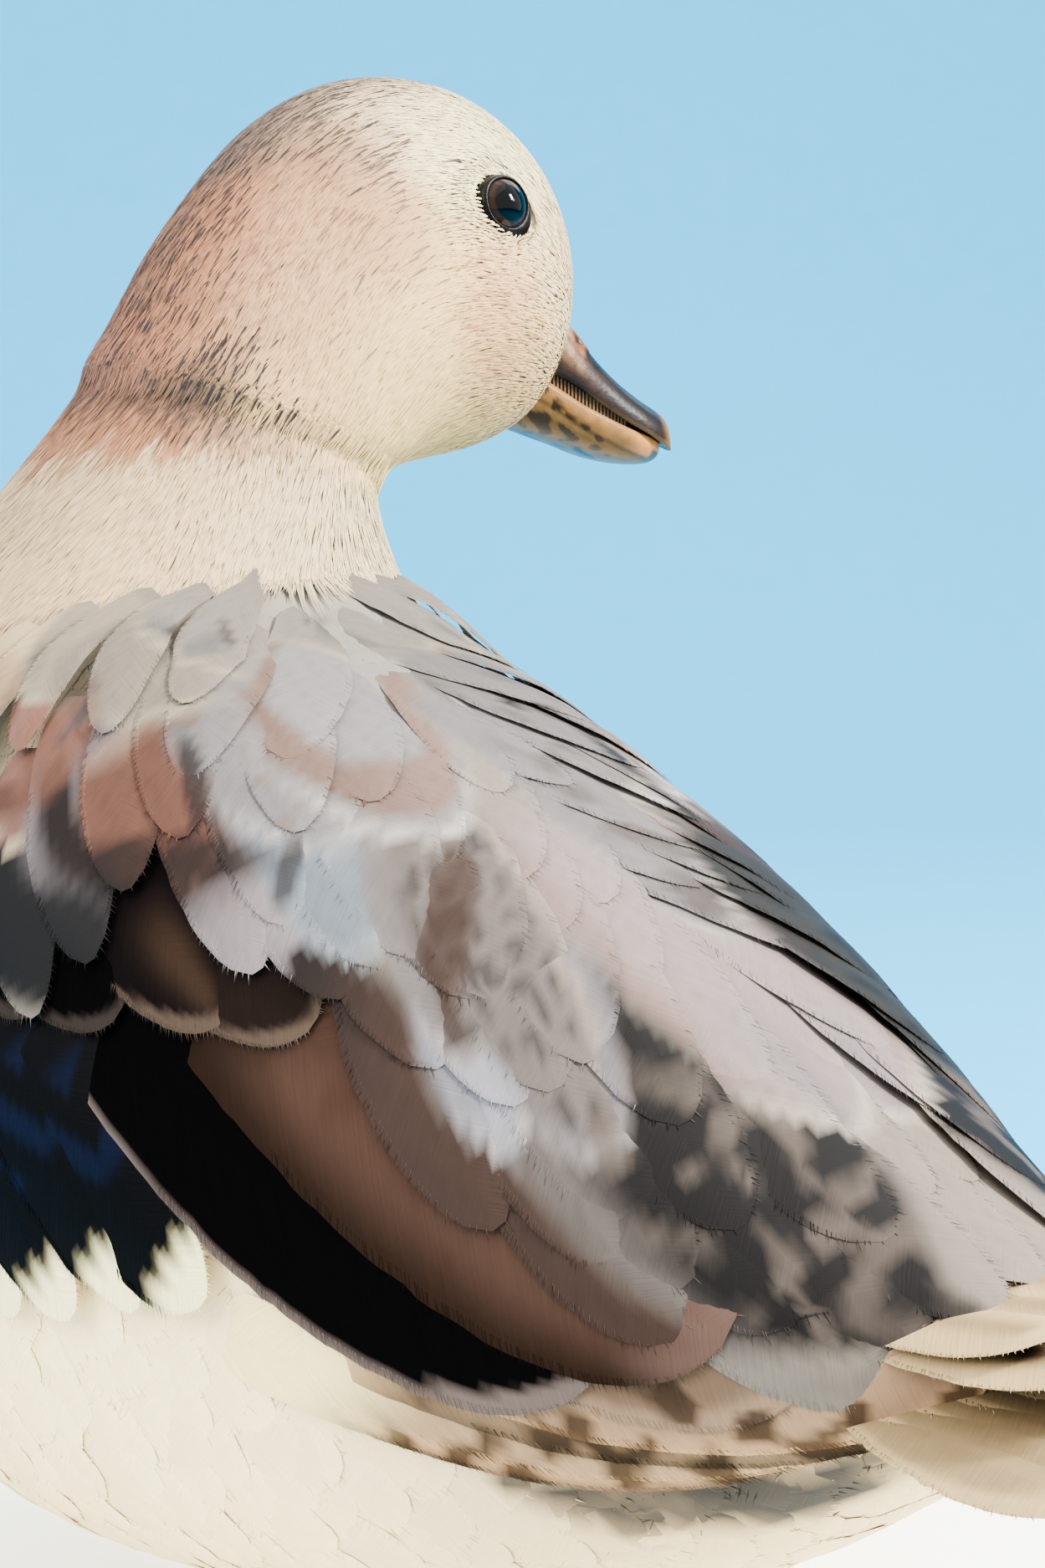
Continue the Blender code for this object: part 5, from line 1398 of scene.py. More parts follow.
def shoulder_feathers(name, side, pile, rng):
    u, v = shoulder_roots(rng)
    n = len(u)
    turn = lie_of_shoulder(u, v)
    large = np.interp(u, (2.6, 5, 8.5, 11.3), (1.15, 1.15, 0.95, 0.7)) * rng.uniform(0.9, 1.12, n)
    length = SHOULDER_LENGTH * large
    t = np.linspace(0, 1, SHOULDER_ROWS)
    walk_u, walk_v = walk(u, v, turn + rng.normal(0, 0.05, n), length, SHOULDER_ROWS)
    base = np.interp(np.degrees(walk_v), *SHOULDER_HEIGHTS) / 1000 * np.interp(walk_u, *SHOULDER_FALLS)
    heights = base - SHOULDER_SINK + (SHOULDER_SINK + SHOULDER_RISE) * t**0.6 - RIGHT_WING_LOWER * (side < 0)
    ragged = 1 + rng.normal(0, 0.012, (n, SHOULDER_ROWS))
    half = (SHOULDER_HALF * large)[:, None] * outline(t, 0.42, 0.4) * ragged
    top, under, (grid_u, grid_v) = lay(walk_u, walk_v * side, half, heights, SHOULDER_COLUMNS * side,
                                       np.full(n, WING_TILT * side), WING_DOME)
    own_u, own_v = (grid * (1 - OWN_TONE) + grid[:, :, 5:6] * OWN_TONE for grid in (grid_u, grid_v))
    colour = shoulder_tones(own_u, own_v, side, top, rng) * rng.normal(1, 0.03, (n, 1, 1, 1))
    colour = paint_marks(colour, own_u, own_v)
    # Painted highlight along each rim, and painted shade towards the root
    rim = rim_nearness(t[:, None], SHOULDER_COLUMNS)
    pale = 1 + 0.07 * smooth_step(rim, 0.75, 1.0)
    colour = colour * (0.92 + 0.10 * t)[:, None, None] * pale[None, ..., None]
    barbs = 1 - 0.10 * smooth_step(np.sin(SHOULDER_COLUMNS * 9 + 26 * t[:, None]), 0.4, 1)
    speckle = rng.normal(1, 0.02, colour.shape[:3] + (1,))
    # Darkened by painted shade, against the light from above
    colour = np.clip(colour * SHOULDER_PAINTED_SHADE * barbs[None, ..., None] * speckle, 0, 0.9)
    bake = bake_spot(u, v * side)
    stack_vanes(pile, top, under, colour, bake, length, half, SHOULDER_COLUMNS, rng)
    fringe(pile, top, colour, bake, 46, np.full(n, 0.0015), 0.00020, 0.3, rng)
    print(name, "shoulder feathers", n)

# %% The two wings
# How deep a flight feather's root is sunk, in metres, and over what share of it
ROOT_SINK, ROOT_SINK_SHARE = 0.0025, 0.22


def bake_cell(number, row_step, tall, grid_t, grid_s):
    """A large feather's own cell of the bake map, eight to a row."""
    origin = np.array((0.02 + number % 8 * 0.12, 0.02 + number // 8 * row_step))
    return origin + np.stack(((grid_s + 1) / 2 * 0.10, grid_t * tall), -1)[None]


def wing_feathers(name, side):
    """One folded wing, in three pieces. side is 1 for her left and -1 for her right."""
    rng = np.random.default_rng(21)
    piles = {"coverts": new_pile(), "speculum": new_pile()}
    t = np.linspace(0, 1, WING_ROWS)
    grid_t, grid_s = t[:, None] + 0 * WING_COLUMNS, WING_COLUMNS + 0 * t[:, None]
    for number, row in enumerate(FLIGHT_FEATHERS):
        root, tip, half_mm, low, high = row[1:6]
        us = (root[0] + (tip[0] - root[0]) * t)[None]
        bow = 1.2 * np.sin(math.pi * t) * (1 if number % 2 else -1)
        vs = np.radians(root[1] + (tip[1] - root[1]) * t + bow)[None] * side
        half = (half_mm / 1000 * outline(t, 0.50, 0.5) * (1 + rng.normal(0, 0.008, WING_ROWS)))[None]
        sink = np.clip(t / ROOT_SINK_SHARE, 0, 1)
        heights = (-ROOT_SINK + (low / 1000 + ROOT_SINK) * sink + (high - low) / 1000 * t)[None]
        heights -= RIGHT_WING_LOWER * (side < 0)
        length = np.linalg.norm(np.diff(sample(NET, us[0], vs[0]), axis=0), axis=1).sum(keepdims=True)
        tilt = np.array([WING_TILT * side])
        top, under, _ = lay(us, vs, half, heights, WING_COLUMNS * side, tilt, WING_DOME)
        colour = vane_colours(row, grid_t, grid_s, top[0], rng)
        # A darker line along the shaft, and painted shade towards the root
        shaft = 1 - 0.05 * np.exp(-((grid_s / 0.07) ** 2))
        colour = np.clip(colour * (0.95 + 0.06 * grid_t)[..., None] * shaft[..., None], 0, 1)
        bake = bake_cell(number, 0.16, 0.14, grid_t, grid_s)
        pile = piles["speculum" if row[0].startswith("secondary") else "coverts"]
        stack_vanes(pile, top, under, colour[None], bake, length, half, WING_COLUMNS, rng)
        fringe(pile, top, colour[None], bake, 110, np.array([0.0014]), 0.00020, 0.35, rng)
    pour(name + "_vanes", piles["coverts"], flight_keratin, "wing_plumage", name)
    pour(name + "_speculum", piles["speculum"], speculum_keratin, "wing_plumage")
    shoulder = new_pile()
    shoulder_feathers(name, side, shoulder, rng)
    pour(name + "_shoulder", shoulder, shoulder_keratin, "wing_plumage")


wing_feathers("wing_left", 1)
wing_feathers("wing_right", -1)

# %% [markdown]
# A duck's tail is a fan of stiff, pointed feathers, each outer pair under the last, with coverts
# over and under its root. They don't lie on the body, so each is laid along its own straight line
# with a slight curl, from the same driving sizes as the solids.

# %% Tail
TAIL_VANES = 14
TAIL_LENGTH, TAIL_HALF = 0.070, 0.0075
# Outer feathers are shorter by this share, and lower by this drop in metres
TAIL_ROUNDED, TAIL_DROP = 0.18, 0.0066
TAIL_SPREAD, TAIL_RISE = math.radians(30), math.radians(5)
TAIL_CURL, TAIL_LEAN, TAIL_DOME = 0.003, 0.2, 0.0006
# The middle of the fan's root, half its width, and how far the feathers start inside the body
TAIL_ROOT = np.array((0, 0.1010, 0.0895)) + SHIFT
TAIL_ROOT_HALF, TAIL_SUNK = 0.0115, 0.004
# Rows of coverts: name, count, length, half width, lift at the middle, arch, share of the fan's spread
TAIL_COVERTS = (
    ("over_long", 7, 0.048, 0.0075, 0.0026, -0.0016, 0.55),
    ("over_short", 6, 0.036, 0.0070, 0.0044, -0.0022, 0.50),
    ("under_long", 7, 0.048, 0.0080, -0.0088, 0.0016, 0.55),
    ("under_short", 6, 0.038, 0.0080, -0.0112, 0.0022, 0.50),
)
TAIL_ROWS = 26


def fan_vane(across, length, half, lift, spread, rng):
    """One vane of the fan. across is -1 to 1 from her right to her left."""
    turn = spread * across
    way = np.array((math.sin(turn), math.cos(turn), math.sin(TAIL_RISE)))
    start = TAIL_ROOT + np.array((TAIL_ROOT_HALF * across, -TAIL_SUNK, lift))
    lean = np.array((math.sin(across * TAIL_LEAN), 0, math.cos(across * TAIL_LEAN)))
    side = np.cross(way, lean)
    side /= np.linalg.norm(side)
    normal = np.cross(side, way)
    t = np.linspace(0, 1, TAIL_ROWS)
    widths = half * outline(t, 0.66, 0.5) * (1 + rng.normal(0, 0.012, TAIL_ROWS))
    line = start + way * (length + TAIL_SUNK) * t[:, None] + UP * (TAIL_CURL * t * t)[:, None]
    ends = np.clip(np.minimum(t / 0.1, (1 - t) / 0.12), 0, 1)
    rise = TAIL_DOME * (1 - WING_COLUMNS**2) * ends[:, None]
    droop = -0.05 * np.abs(WING_COLUMNS) * widths[:, None]
    flat = line[:, None] + side * (WING_COLUMNS * widths[:, None])[..., None] + normal * droop[..., None]
    top = flat + normal * rise[..., None]
    pick = edges_and_middle(WING_COLUMNS)
    return top[None, :, ::-1], flat[:, pick][None, :, ::-1], widths[None]


def tail_colours(across, t, s, kind, rng):
    """Tan vanes with a brown middle and cream rim, and cream coverts, some with a spot."""
    cream, tan, brown = pigment("#c6b897"), pigment("#8a7052"), pigment("#46341f")
    rim = rim_nearness(t, s)
    if kind == "fan":
        brown_share = 0.55 * np.exp(-((np.abs(s) - 0.3) / 0.3) ** 2) * (1 - smooth_step(t, 0.75, 0.95))
        colour = touched(tan, brown, brown_share)
        colour = touched(colour, cream, smooth_step(rim, 0.72, 0.9))
        colour = touched(colour, cream, min(1.0, abs(across)) * 0.45)
    else:
        colour = touched(cream, tan, 0.6 * np.exp(-((s / 0.35) ** 2)) * (t < 0.9))
        spot = np.exp(-((t - 0.72) / 0.07) ** 2 - (s / 0.4) ** 2) * (rng.random() < 0.6)
        colour = touched(colour, pigment("#3a2a20"), np.clip(spot * 1.3, 0, 1))
    return np.clip(colour * rng.normal(1, 0.02, t.shape)[..., None], 0, 1)


def make_tail():
    rng = np.random.default_rng(31)
    pile = new_pile()
    jobs = [("fan", a, TAIL_LENGTH * (1 - TAIL_ROUNDED * a * a), TAIL_HALF, -TAIL_DROP * abs(a), TAIL_SPREAD)
            for a in np.linspace(-1, 1, TAIL_VANES)]
    for _, count, length, half, lift, arch, share in TAIL_COVERTS:
        jobs += [("covert", a, length * (1 - 0.12 * abs(a)), half, lift + arch * abs(a), TAIL_SPREAD * share)
                 for a in np.linspace(-1, 1, count)]
    t = np.linspace(0, 1, TAIL_ROWS)
    grid_t, grid_s = t[:, None] + 0 * WING_COLUMNS, WING_COLUMNS + 0 * t[:, None]
    for number, (kind, across, length, half, lift, spread) in enumerate(jobs):
        top, under, widths = fan_vane(across, length, half, lift, spread, rng)
        colour = tail_colours(across, grid_t, grid_s, kind, rng)[None]
        bake = bake_cell(number, 0.19, 0.17, grid_t, grid_s)
        stack_vanes(pile, top, under, colour, bake, np.array([length]), widths, WING_COLUMNS, rng)
        fringe(pile, top, colour, bake, 50, np.array([0.0012]), 0.00032, 0.3, rng)
    pour("tail_vanes", pile, flight_keratin, "tail_plumage", "tail")


make_tail()

# %% [markdown]
# The bill is keratin over bone: nearly black above, tan at its root and tip, and golden along the
# roll of the lower half. It could be sculpted, but sections from the solids' own sizes, drawn
# through a smooth curve, loft cleanly. The nostril is pressed in point by point, with no Boolean,
# and the tones are laid by the same sections.

# %% Sections of the bill
# Forward, culmen height, edge height and half width of the upper bill
UPPER_BILL = (
    (0.0240, -0.0050, -0.0165, 0.0068),
    (0.0300, -0.0045, -0.0176, 0.0080),
    (0.0360, -0.0052, -0.0198, 0.0088),
    (0.0405, -0.0100, -0.0222, 0.0092),
    (0.0450, -0.0152, -0.0250, 0.0095),
    (0.0495, -0.0194, -0.0276, 0.0099),
    (0.0540, -0.0226, -0.0298, 0.0101),
    (0.0575, -0.0245, -0.0316, 0.0097),
    (0.0597, -0.0256, -0.0327, 0.0086),
    (0.0605, -0.0263, -0.0331, 0.0070),
    (0.0610, -0.0276, -0.0329, 0.0046),
)
# Forward, lip height, keel height and half width of the lower bill
LOWER_BILL = (
    (0.0200, -0.0158, -0.0258, 0.0076),
    (0.0260, -0.0174, -0.0278, 0.0083),
    (0.0330, -0.0205, -0.0300, 0.0089),
    (0.0400, -0.0244, -0.0322, 0.0092),
    (0.0460, -0.0272, -0.0342, 0.0095),
    (0.0510, -0.0292, -0.0353, 0.0094),
    (0.0552, -0.0305, -0.0357, 0.0086),
    (0.0580, -0.0315, -0.0356, 0.0070),
    (0.0594, -0.0320, -0.0351, 0.0046),
)
UPPER_SIDE, UPPER_RIDGE, LOWER_SIDE, LOWER_KEEL = 0.75, 0.9, 0.8, 0.8
PALATE_HOLLOW, FLOOR_DIP = 0.0009, 0.0016
# The lower lip is a round roll, with a groove under it: depth, height and width of each in metres
ROLL_DEPTH, ROLL_RISE, ROLL_WIDE = 0.0017, 0.00035, 0.0013
GROOVE_DEPTH, GROOVE_PRESS, GROOVE_WIDE = 0.0040, 0.00030, 0.0008
# Place of the nostril, its half sizes, and how deep it is and how high its rim
NOSTRIL = (0.0402, 0.0062, -0.0128)
NOSTRIL_LONG, NOSTRIL_WIDE, NOSTRIL_PIT, NOSTRIL_RIM = 0.0017, 0.00075, 0.0011, 0.0003
NOSTRIL_SLOPE, NOSTRIL_INWARD = np.array((0.78, 0, -0.62)), (0.35, 0.75, 0.55)
BILL_ROWS, ARCH_POINTS, FLOOR_POINTS = 120, 60, 13


def signed_power(value, power):
    return np.sign(value) * np.abs(value) ** power


def bill_row(table, f):
    return between(table, np.interp(f, [row[0] for row in table], np.arange(len(table))))


def bill_sections(table, lower):
    """Closed sections of a half of the bill, in the head's frame: (rows, points, 3)."""
    row = between(table, np.linspace(0, len(table) - 1, BILL_ROWS))
    f, top, low, half = (row[:, k:k + 1] for k in range(4))
    a = np.linspace(0, math.pi, ARCH_POINTS)
    floor = np.linspace(-1, 1, FLOOR_POINTS)[1:-1]
    if lower:
        side = half * signed_power(np.cos(a), LOWER_SIDE)
        height = top - (top - low) * np.sin(a) ** LOWER_KEEL
        deep = top - height
        swell = ROLL_RISE * np.exp(-(((deep - ROLL_DEPTH) / ROLL_WIDE) ** 2))
        swell = swell - GROOVE_PRESS * np.exp(-(((deep - GROOVE_DEPTH) / GROOVE_WIDE) ** 2))
        side = side + np.sign(np.cos(a)) * swell * np.abs(np.cos(a)) ** 0.5
        floor_z = top + 0.0001 - FLOOR_DIP * (1 - floor**2)
    else:
        side = half * signed_power(np.cos(a), UPPER_SIDE)
        height = low + (top - low) * np.sin(a) ** UPPER_RIDGE
        floor_z = low + PALATE_HOLLOW * (1 - floor**2)
    side = np.concatenate((side, half * floor * 0.96), 1)
    height = np.concatenate((height, floor_z), 1)
    return np.stack((f + 0 * side, side, height), -1)


def press_nostrils(points):
    """A slit pressed into each side of the upper bill, with a low rim round it."""
    for side in (1, -1):
        away = points - (NOSTRIL[0], NOSTRIL[1] * side, NOSTRIL[2])
        along = away @ NOSTRIL_SLOPE
        off = np.linalg.norm(away - along[..., None] * NOSTRIL_SLOPE, axis=-1)
        r = np.hypot(along / NOSTRIL_LONG, off / NOSTRIL_WIDE)
        pit = -NOSTRIL_PIT * np.exp(-(r / 0.95) ** 4)
        lip = NOSTRIL_RIM * np.exp(-((r - 1.7) / 0.45) ** 2)
        inward = np.array(NOSTRIL_INWARD) * (1, side, 1)
        points = points + inward * (pit + lip)[..., None]
    return points

# %% Tones of the bill


def lower_bill_layers(f, deep, patches):
    """The lower half's base tone, and tones laid over it. All places are in mm."""
    roll = 1 - smooth_step(deep, 3.1, 3.9)
    # The groove under the roll is darkened: painted shade in the crease
    crease_shade = np.exp(-(((deep - 4.0) / 0.35) ** 2))
    specks = smooth_step(patches, 0.12, 0.3) * smooth_step(deep, 2.6, 3.6) * (1 - smooth_step(f, 47, 51))
    specks = specks + smooth_step(patches, 0.05, 0.3) * (1 - smooth_step(f, 33, 38))
    nail = smooth_step(f, 55.4, 56.4) * smooth_step(deep, 1.5, 2.2)
    layers = (("#b08643", roll), ("#cba457", roll * smooth_step(f, 49, 54)), ("#3b2817", 0.7 * crease_shade),
              ("#1f120a", np.clip(specks, 0, 0.95)), ("#5d5c46", nail))
    return "#8c6629", layers


def upper_bill_layers(f, z, over, height, patches, fine):
    """The upper half's base tone, and tones laid over it. height is 0 at the edge and 1 on the ridge."""
    low_side = 1 - smooth_step(height, 0.42, 0.78)
    # A pinkish-brown painted sheen low on the side, near the root
    painted_sheen = low_side * smooth_step(height, 0.05, 0.25) * (1 - smooth_step(f, 44, 50))
    painted_sheen = painted_sheen * smooth_step(patches, -0.6, 0.4)
    root = (1 - smooth_step(f + 2.0 * patches, 38.6, 41.6)) * smooth_step(height, 0.15, 0.45)
    specks = smooth_step(fine, 0.1, 0.35) * (1 - smooth_step(f, 40, 43))
    edge = (1 - smooth_step(over, 0.35, 0.75)) * smooth_step(f, 40, 44)
    tip = smooth_step(f + 0.6 * patches, 57.2, 59.6)
    # The nostril's rim is orange-brown, and its opening is painted dark as the shade in the hole
    away = np.hypot((f - 1000 * NOSTRIL[0]) / 2.9, (z - 1000 * NOSTRIL[2]) / 2.2)
    return "#15181e", (("#1c120c", low_side), ("#5a3722", 0.6 * painted_sheen), ("#b18a56", 0.9 * root),
                       ("#2a1c14", 0.6 * specks), ("#7d5b36", 0.8 * edge), ("#966c2e", 0.95 * tip),
                       ("#9a5f30", 0.8 * np.exp(-(away**4))), ("#120b08", np.exp(-((away / 0.36) ** 4))))


def bill_tones(points, lower):
    f, z = points[..., 0] * 1000, points[..., 2] * 1000
    row = bill_row(LOWER_BILL if lower else UPPER_BILL, points[..., 0])
    over = (points[..., 2] - row[..., 2]) * 1000
    patches = clumps(points, 0.0016)
    if lower:
        base, layers = lower_bill_layers(f, (row[..., 1] - points[..., 2]) * 1000, patches)
    else:
        height = over / np.maximum((row[..., 1] - row[..., 2]) * 1000, 1e-3)
        base, layers = upper_bill_layers(f, z, over, height, patches, clumps(points, 0.0008))
    colour = pigment(base) + 0 * points
    for tone, amount in layers:
        colour = touched(colour, pigment(tone), amount)
    # Inside the mouth the lining is painted dark: painted shade
    mouth_shade = np.arange(points.shape[1])[None] >= ARCH_POINTS
    return np.where(mouth_shade[..., None], pigment("#20130d"), colour)

# %% Horn of the bill


def bill_material():
    """Polished horn: smooth, a little mottled, with a fine grain that breaks its gloss."""
    made, tree, shader = new_material("bill_keratin", Roughness=0.32, IOR=1.54, Specular_IOR_Level=0.07)
    tone = node(tree, "ShaderNodeVertexColor", {"layer_name": "Plumage"})
    place = node(tree, "ShaderNodeTexCoord")
    mottle = node(tree, "ShaderNodeTexNoise", {"Scale": 420.0, "Detail": 4.0, "Roughness": 0.6},
                  {"Vector": place.outputs["Object"]})
    grain = node(tree, "ShaderNodeTexNoise", {"Scale": 1600.0, "Detail": 3.0},
                 {"Vector": place.outputs["Object"]})
    shade = varied(tree, tone.outputs["Color"], mottle.outputs["Fac"], 0.78, 1.15, (0.35, 0.65))
    wire(tree, shader, shade, grain.outputs["Fac"], 0.3, 0.00012)
    return made


bill_keratin = bill_material()
print("made", bill_keratin.name)

# %% Lofting the bill


def outward(points, faces, centre):
    """The faces of a solid, all turned over where it is inside out."""
    solid = (points - centre)[faces]
    if np.einsum("ij,ij->i", solid[:, 0], np.cross(solid[:, 1], solid[:, 2])).sum() < 0:
        return faces[:, ::-1]
    return faces


def loft_object(name, sections, colour, finish, slot, *nodes):
    """A closed skin over sections of equal point count, with a hub at each end."""
    rows, count = sections.shape[:2]
    i, k = np.meshgrid(np.arange(rows - 1), np.arange(count), indexing="ij")
    n = (k + 1) % count
    a, b, c, d = (x.ravel() for x in (i * count + k, i * count + n, (i + 1) * count + n, (i + 1) * count + k))
    faces = np.concatenate((np.stack((a, b, c), -1), np.stack((a, c, d), -1)))
    points = sections.reshape(-1, 3)
    hubs = np.stack((sections[0].mean(0), sections[-1].mean(0)))
    ring = np.arange(count)
    last = (rows - 1) * count
    end = last + (ring + 1) % count
    caps = np.concatenate((np.stack((np.full(count, rows * count), (ring + 1) % count, ring), -1),
                           np.stack((np.full(count, rows * count + 1), last + ring, end), -1)))
    points = np.vstack((points, hubs))
    faces = outward(points, np.concatenate((faces, caps)), hubs.mean(0))
    colour = np.vstack((colour.reshape(-1, 3), colour[0, :1], colour[-1, :1]))
    made = mesh_from(name, points, faces, colour)
    print(f"{name}: {len(faces)} triangles")
    return dress(made, finish, slot, *nodes)


def make_bill():
    upper = press_nostrils(bill_sections(UPPER_BILL, False))
    lower = bill_sections(LOWER_BILL, True)
    for name, sections, low in (("bill_upper_horn", upper, False), ("bill_lower_horn", lower, True)):
        world = head_place(sections[..., 0], sections[..., 1], sections[..., 2])
        colour = bill_tones(sections, low)
        loft_object(name, world, colour, bill_keratin, "bill_horn", name.replace("_horn", ""))


make_bill()

# %% [markdown]
# Her mouth is a little open, and inside the lip stands a comb, the row of upright plates that a duck
# strains water with. An array modifier would space equal plates, but these follow the lip's curve
# and change in height, so each is a small box between the edges of the two halves.

# %% Comb of the mouth
LAMELLAE, LAMELLAE_SPAN = 26, (0.0310, 0.0495)
# The wall behind them closes the mouth, painted dark as the shade inside it: boxes, and where they start and
# end
WALL_BOXES, WALL_SPAN = 36, (0.028, 0.0585)
# Length forward, distance from the lip and depth of a plate and of a box of the wall
LAMELLA, WALL = (0.00017, 0.0008, 0.0015), (0.0008, 0.0021, 0.0006)
# How far they reach into the lip below and the palate above
INTO_LIP, INTO_PALATE = 0.0012, 0.0006
BOX_CORNERS = np.array(((-1, 0, 0), (1, 0, 0), (1, 1, 0), (-1, 1, 0),
                        (-1, 0, 1), (1, 0, 1), (1, 1, 1), (-1, 1, 1)), float)
BOX_FACES = np.array(((0, 2, 1), (0, 3, 2), (4, 5, 6), (4, 6, 7), (0, 1, 5), (0, 5, 4),
                      (1, 2, 6), (1, 6, 5), (2, 3, 7), (2, 7, 6), (3, 0, 4), (3, 4, 7)))


def make_lamellae():
    pile = new_pile()
    plates, wall = np.linspace(*LAMELLAE_SPAN, LAMELLAE), np.linspace(*WALL_SPAN, WALL_BOXES)
    for side in (1, -1):
        # The plates are tan; the wall behind them is painted dark, as the shade inside the mouth
        for f, (thick, inset, deep), tone in ((plates, LAMELLA, "#8a6a48"), (wall, WALL, "#1c110b")):
            upper, lower = bill_row(UPPER_BILL, f), bill_row(LOWER_BILL, f)
            x = f[:, None] + BOX_CORNERS[:, 0] * thick
            half = np.minimum(upper[:, 3], lower[:, 3])[:, None]
            y = (half - inset - BOX_CORNERS[:, 1] * deep) * side
            low, high = lower[:, 1:2] - INTO_LIP, upper[:, 2:3] + INTO_PALATE
            z = low + BOX_CORNERS[:, 2] * (high - low)
            heap(pile, head_place(x, y, z), BOX_FACES, pigment(tone), np.zeros((1, 1, 2)) + 0.5)
    arrays = {key: np.concatenate(pile[key]) for key in ("points", "faces", "colour")}
    made = mesh_from("bill_comb", arrays["points"], arrays["faces"], arrays["colour"], smooth=False)
    return dress(made, bill_keratin, "bill_horn")


make_lamellae()
print("plates in the comb:", 2 * LAMELLAE)

# %% [markdown]
# A duck's eye is a dark wet ball in a ring of bare lid. Pupil and iris are tones on one ball whose
# surface has a cornea's gloss; a clear shell over a separate iris would hardly differ at this size.
# The lid is a soft rounded ring, thicker at the front corner, lofted round the opening.

# %% Materials of the eye


def eye_material():
    """Wet cornea: almost a mirror, though it sends back little of the light."""
    made, tree, shader = new_material("cornea_over_iris", Roughness=0.03, IOR=1.376, Specular_IOR_Level=0.12)
    tone = node(tree, "ShaderNodeVertexColor", {"layer_name": "Plumage"})
    wire(tree, shader, tone.outputs["Color"])
    return made


def lid_material():
    """Bare skin of the lid: dark, supple, finely folded."""
    made, tree, shader = new_material("bare_lid_skin", Roughness=0.35, IOR=1.4, Specular_IOR_Level=0.08)
    shader.inputs["Base Color"].default_value = (*pigment("#150d08"), 1)
    place = node(tree, "ShaderNodeTexCoord")
    folds = node(tree, "ShaderNodeTexNoise", {"Scale": 1500.0, "Detail": 3.0},
                 {"Vector": place.outputs["Object"]})
    wire(tree, shader, None, folds.outputs["Fac"], 0.5, 0.0002)
    return made


cornea, lid_skin = eye_material(), lid_material()
print("made", cornea.name, "and", lid_skin.name)

# %% Eyes and lids
# Radii of pupil, iris and the ball's opening in metres, and the shares by which an eye looks ahead and up
PUPIL, IRIS, OPENING = 0.00285, 0.00372, 0.0042
EYE_TURN_FRONT, EYE_TURN_UP = 0.12, 0.05
EYE_TONES = ("#050609", "#33200f", "#140c07")
# From the wet edge on the ball, over the lid's round rim, out under the feathers, and back below:
# shares of the lid's width, and heights in mm over the opening
LID_SHARES = np.array((0.0, 0.10, 0.30, 0.55, 0.80, 1.0, 1.12, 1.12, 0.5, 0.0))
LID_HEIGHTS = np.array((0.58, 0.80, 0.92, 0.88, 0.72, 0.45, 0.0, -0.8, -0.8, -0.2)) / 1000
LID_SAG = 0.00042


def eye_frame(side_name, sign):
    """Centre and radius of the ball, its axis, and two directions across it."""
    low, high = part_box("eye_" + side_name)
    u, v = EYES[side_name]
    normal = sample(NORMALS, np.array([u]), np.array([v]))[0]
    axis = normal + RIGHT * sign + FORWARD * EYE_TURN_FRONT + UP * EYE_TURN_UP
    axis /= np.linalg.norm(axis)
    across = np.cross(axis, UP)
    across /= np.linalg.norm(across)
    return np.array((low + high) / 2), (high - low).z / 2, axis, across, np.cross(across, axis)


def make_eye(side_name, sign):
    centre, radius, axis, across, tall = eye_frame(side_name, sign)
    polar = np.linspace(0, math.pi, 61)[:, None]
    turn = np.linspace(0, TURN, 120, endpoint=False)[None]
    out = np.cos(polar)[..., None] * axis + (np.sin(polar) * np.cos(turn))[..., None] * across
    out = out + (np.sin(polar) * np.sin(turn))[..., None] * tall
    ball = centre + radius * (1 + 0.02 * np.exp(-((polar / 0.5) ** 2)))[..., None] * out
    off = radius * np.sin(polar) + 0 * turn
    fibres = 1 + 0.10 * np.sin(turn * 31) * np.sin(turn * 17 + 1)
    pupil, iris, rim = (pigment(tone) for tone in EYE_TONES)
    colour = touched(pupil, iris * fibres[..., None], smooth_step(off, PUPIL - 0.00010, PUPIL + 0.00025))
    colour = touched(colour, rim, smooth_step(off, IRIS - 0.00035, IRIS))
    loft_object("eyeball_" + side_name, ball, colour, cornea, "eye_glass", "eye_" + side_name)
    opening = centre + axis * math.sqrt(radius**2 - OPENING**2)
    a = np.linspace(0, TURN, 120, endpoint=False)[:, None]
    way = np.cos(a)[..., None] * across + np.sin(a)[..., None] * tall
    outer = lid_reach(way @ FORWARD, way @ UP)
    reach = LID_INNER + (outer - LID_INNER) * LID_SHARES
    sag = LID_SAG * smooth_step(outer, LID_OUTER, LID_OUTER + LID_CORNER) * np.clip(LID_SHARES, 0, 1)
    ring = opening + way * reach[..., None] + (LID_HEIGHTS - sag)[..., None] * axis
    count, sides = ring.shape[:2]
    i, k = np.meshgrid(np.arange(count), np.arange(sides), indexing="ij")
    j, n = (i + 1) % count, (k + 1) % sides
    p, q, r, s = (x.ravel() for x in (i * sides + k, i * sides + n, j * sides + n, j * sides + k))
    faces = np.concatenate((np.stack((p, q, r), -1), np.stack((p, r, s), -1)))
    points = ring.reshape(-1, 3)
    dress(mesh_from("lid_" + side_name, points, outward(points, faces, centre)), lid_skin, "head_plumage")


make_eye("right", 1)
make_eye("left", -1)
print("eyes and lids made")

# %% [markdown]
# Legs and feet are bare, in orange skin with small scales and plates. The solids have their true
# shape but flat faces, so a copy of each is remeshed finely and smoothed. Sculpted scales would be
# too fine to see here, so a cell pattern darkens their seams and presses them in. The claws are
# small enough to stay as they are, and only take their horn.

# %% Materials of legs and claws
# Size of a scale, in metres
LEG_CELL = 0.0013


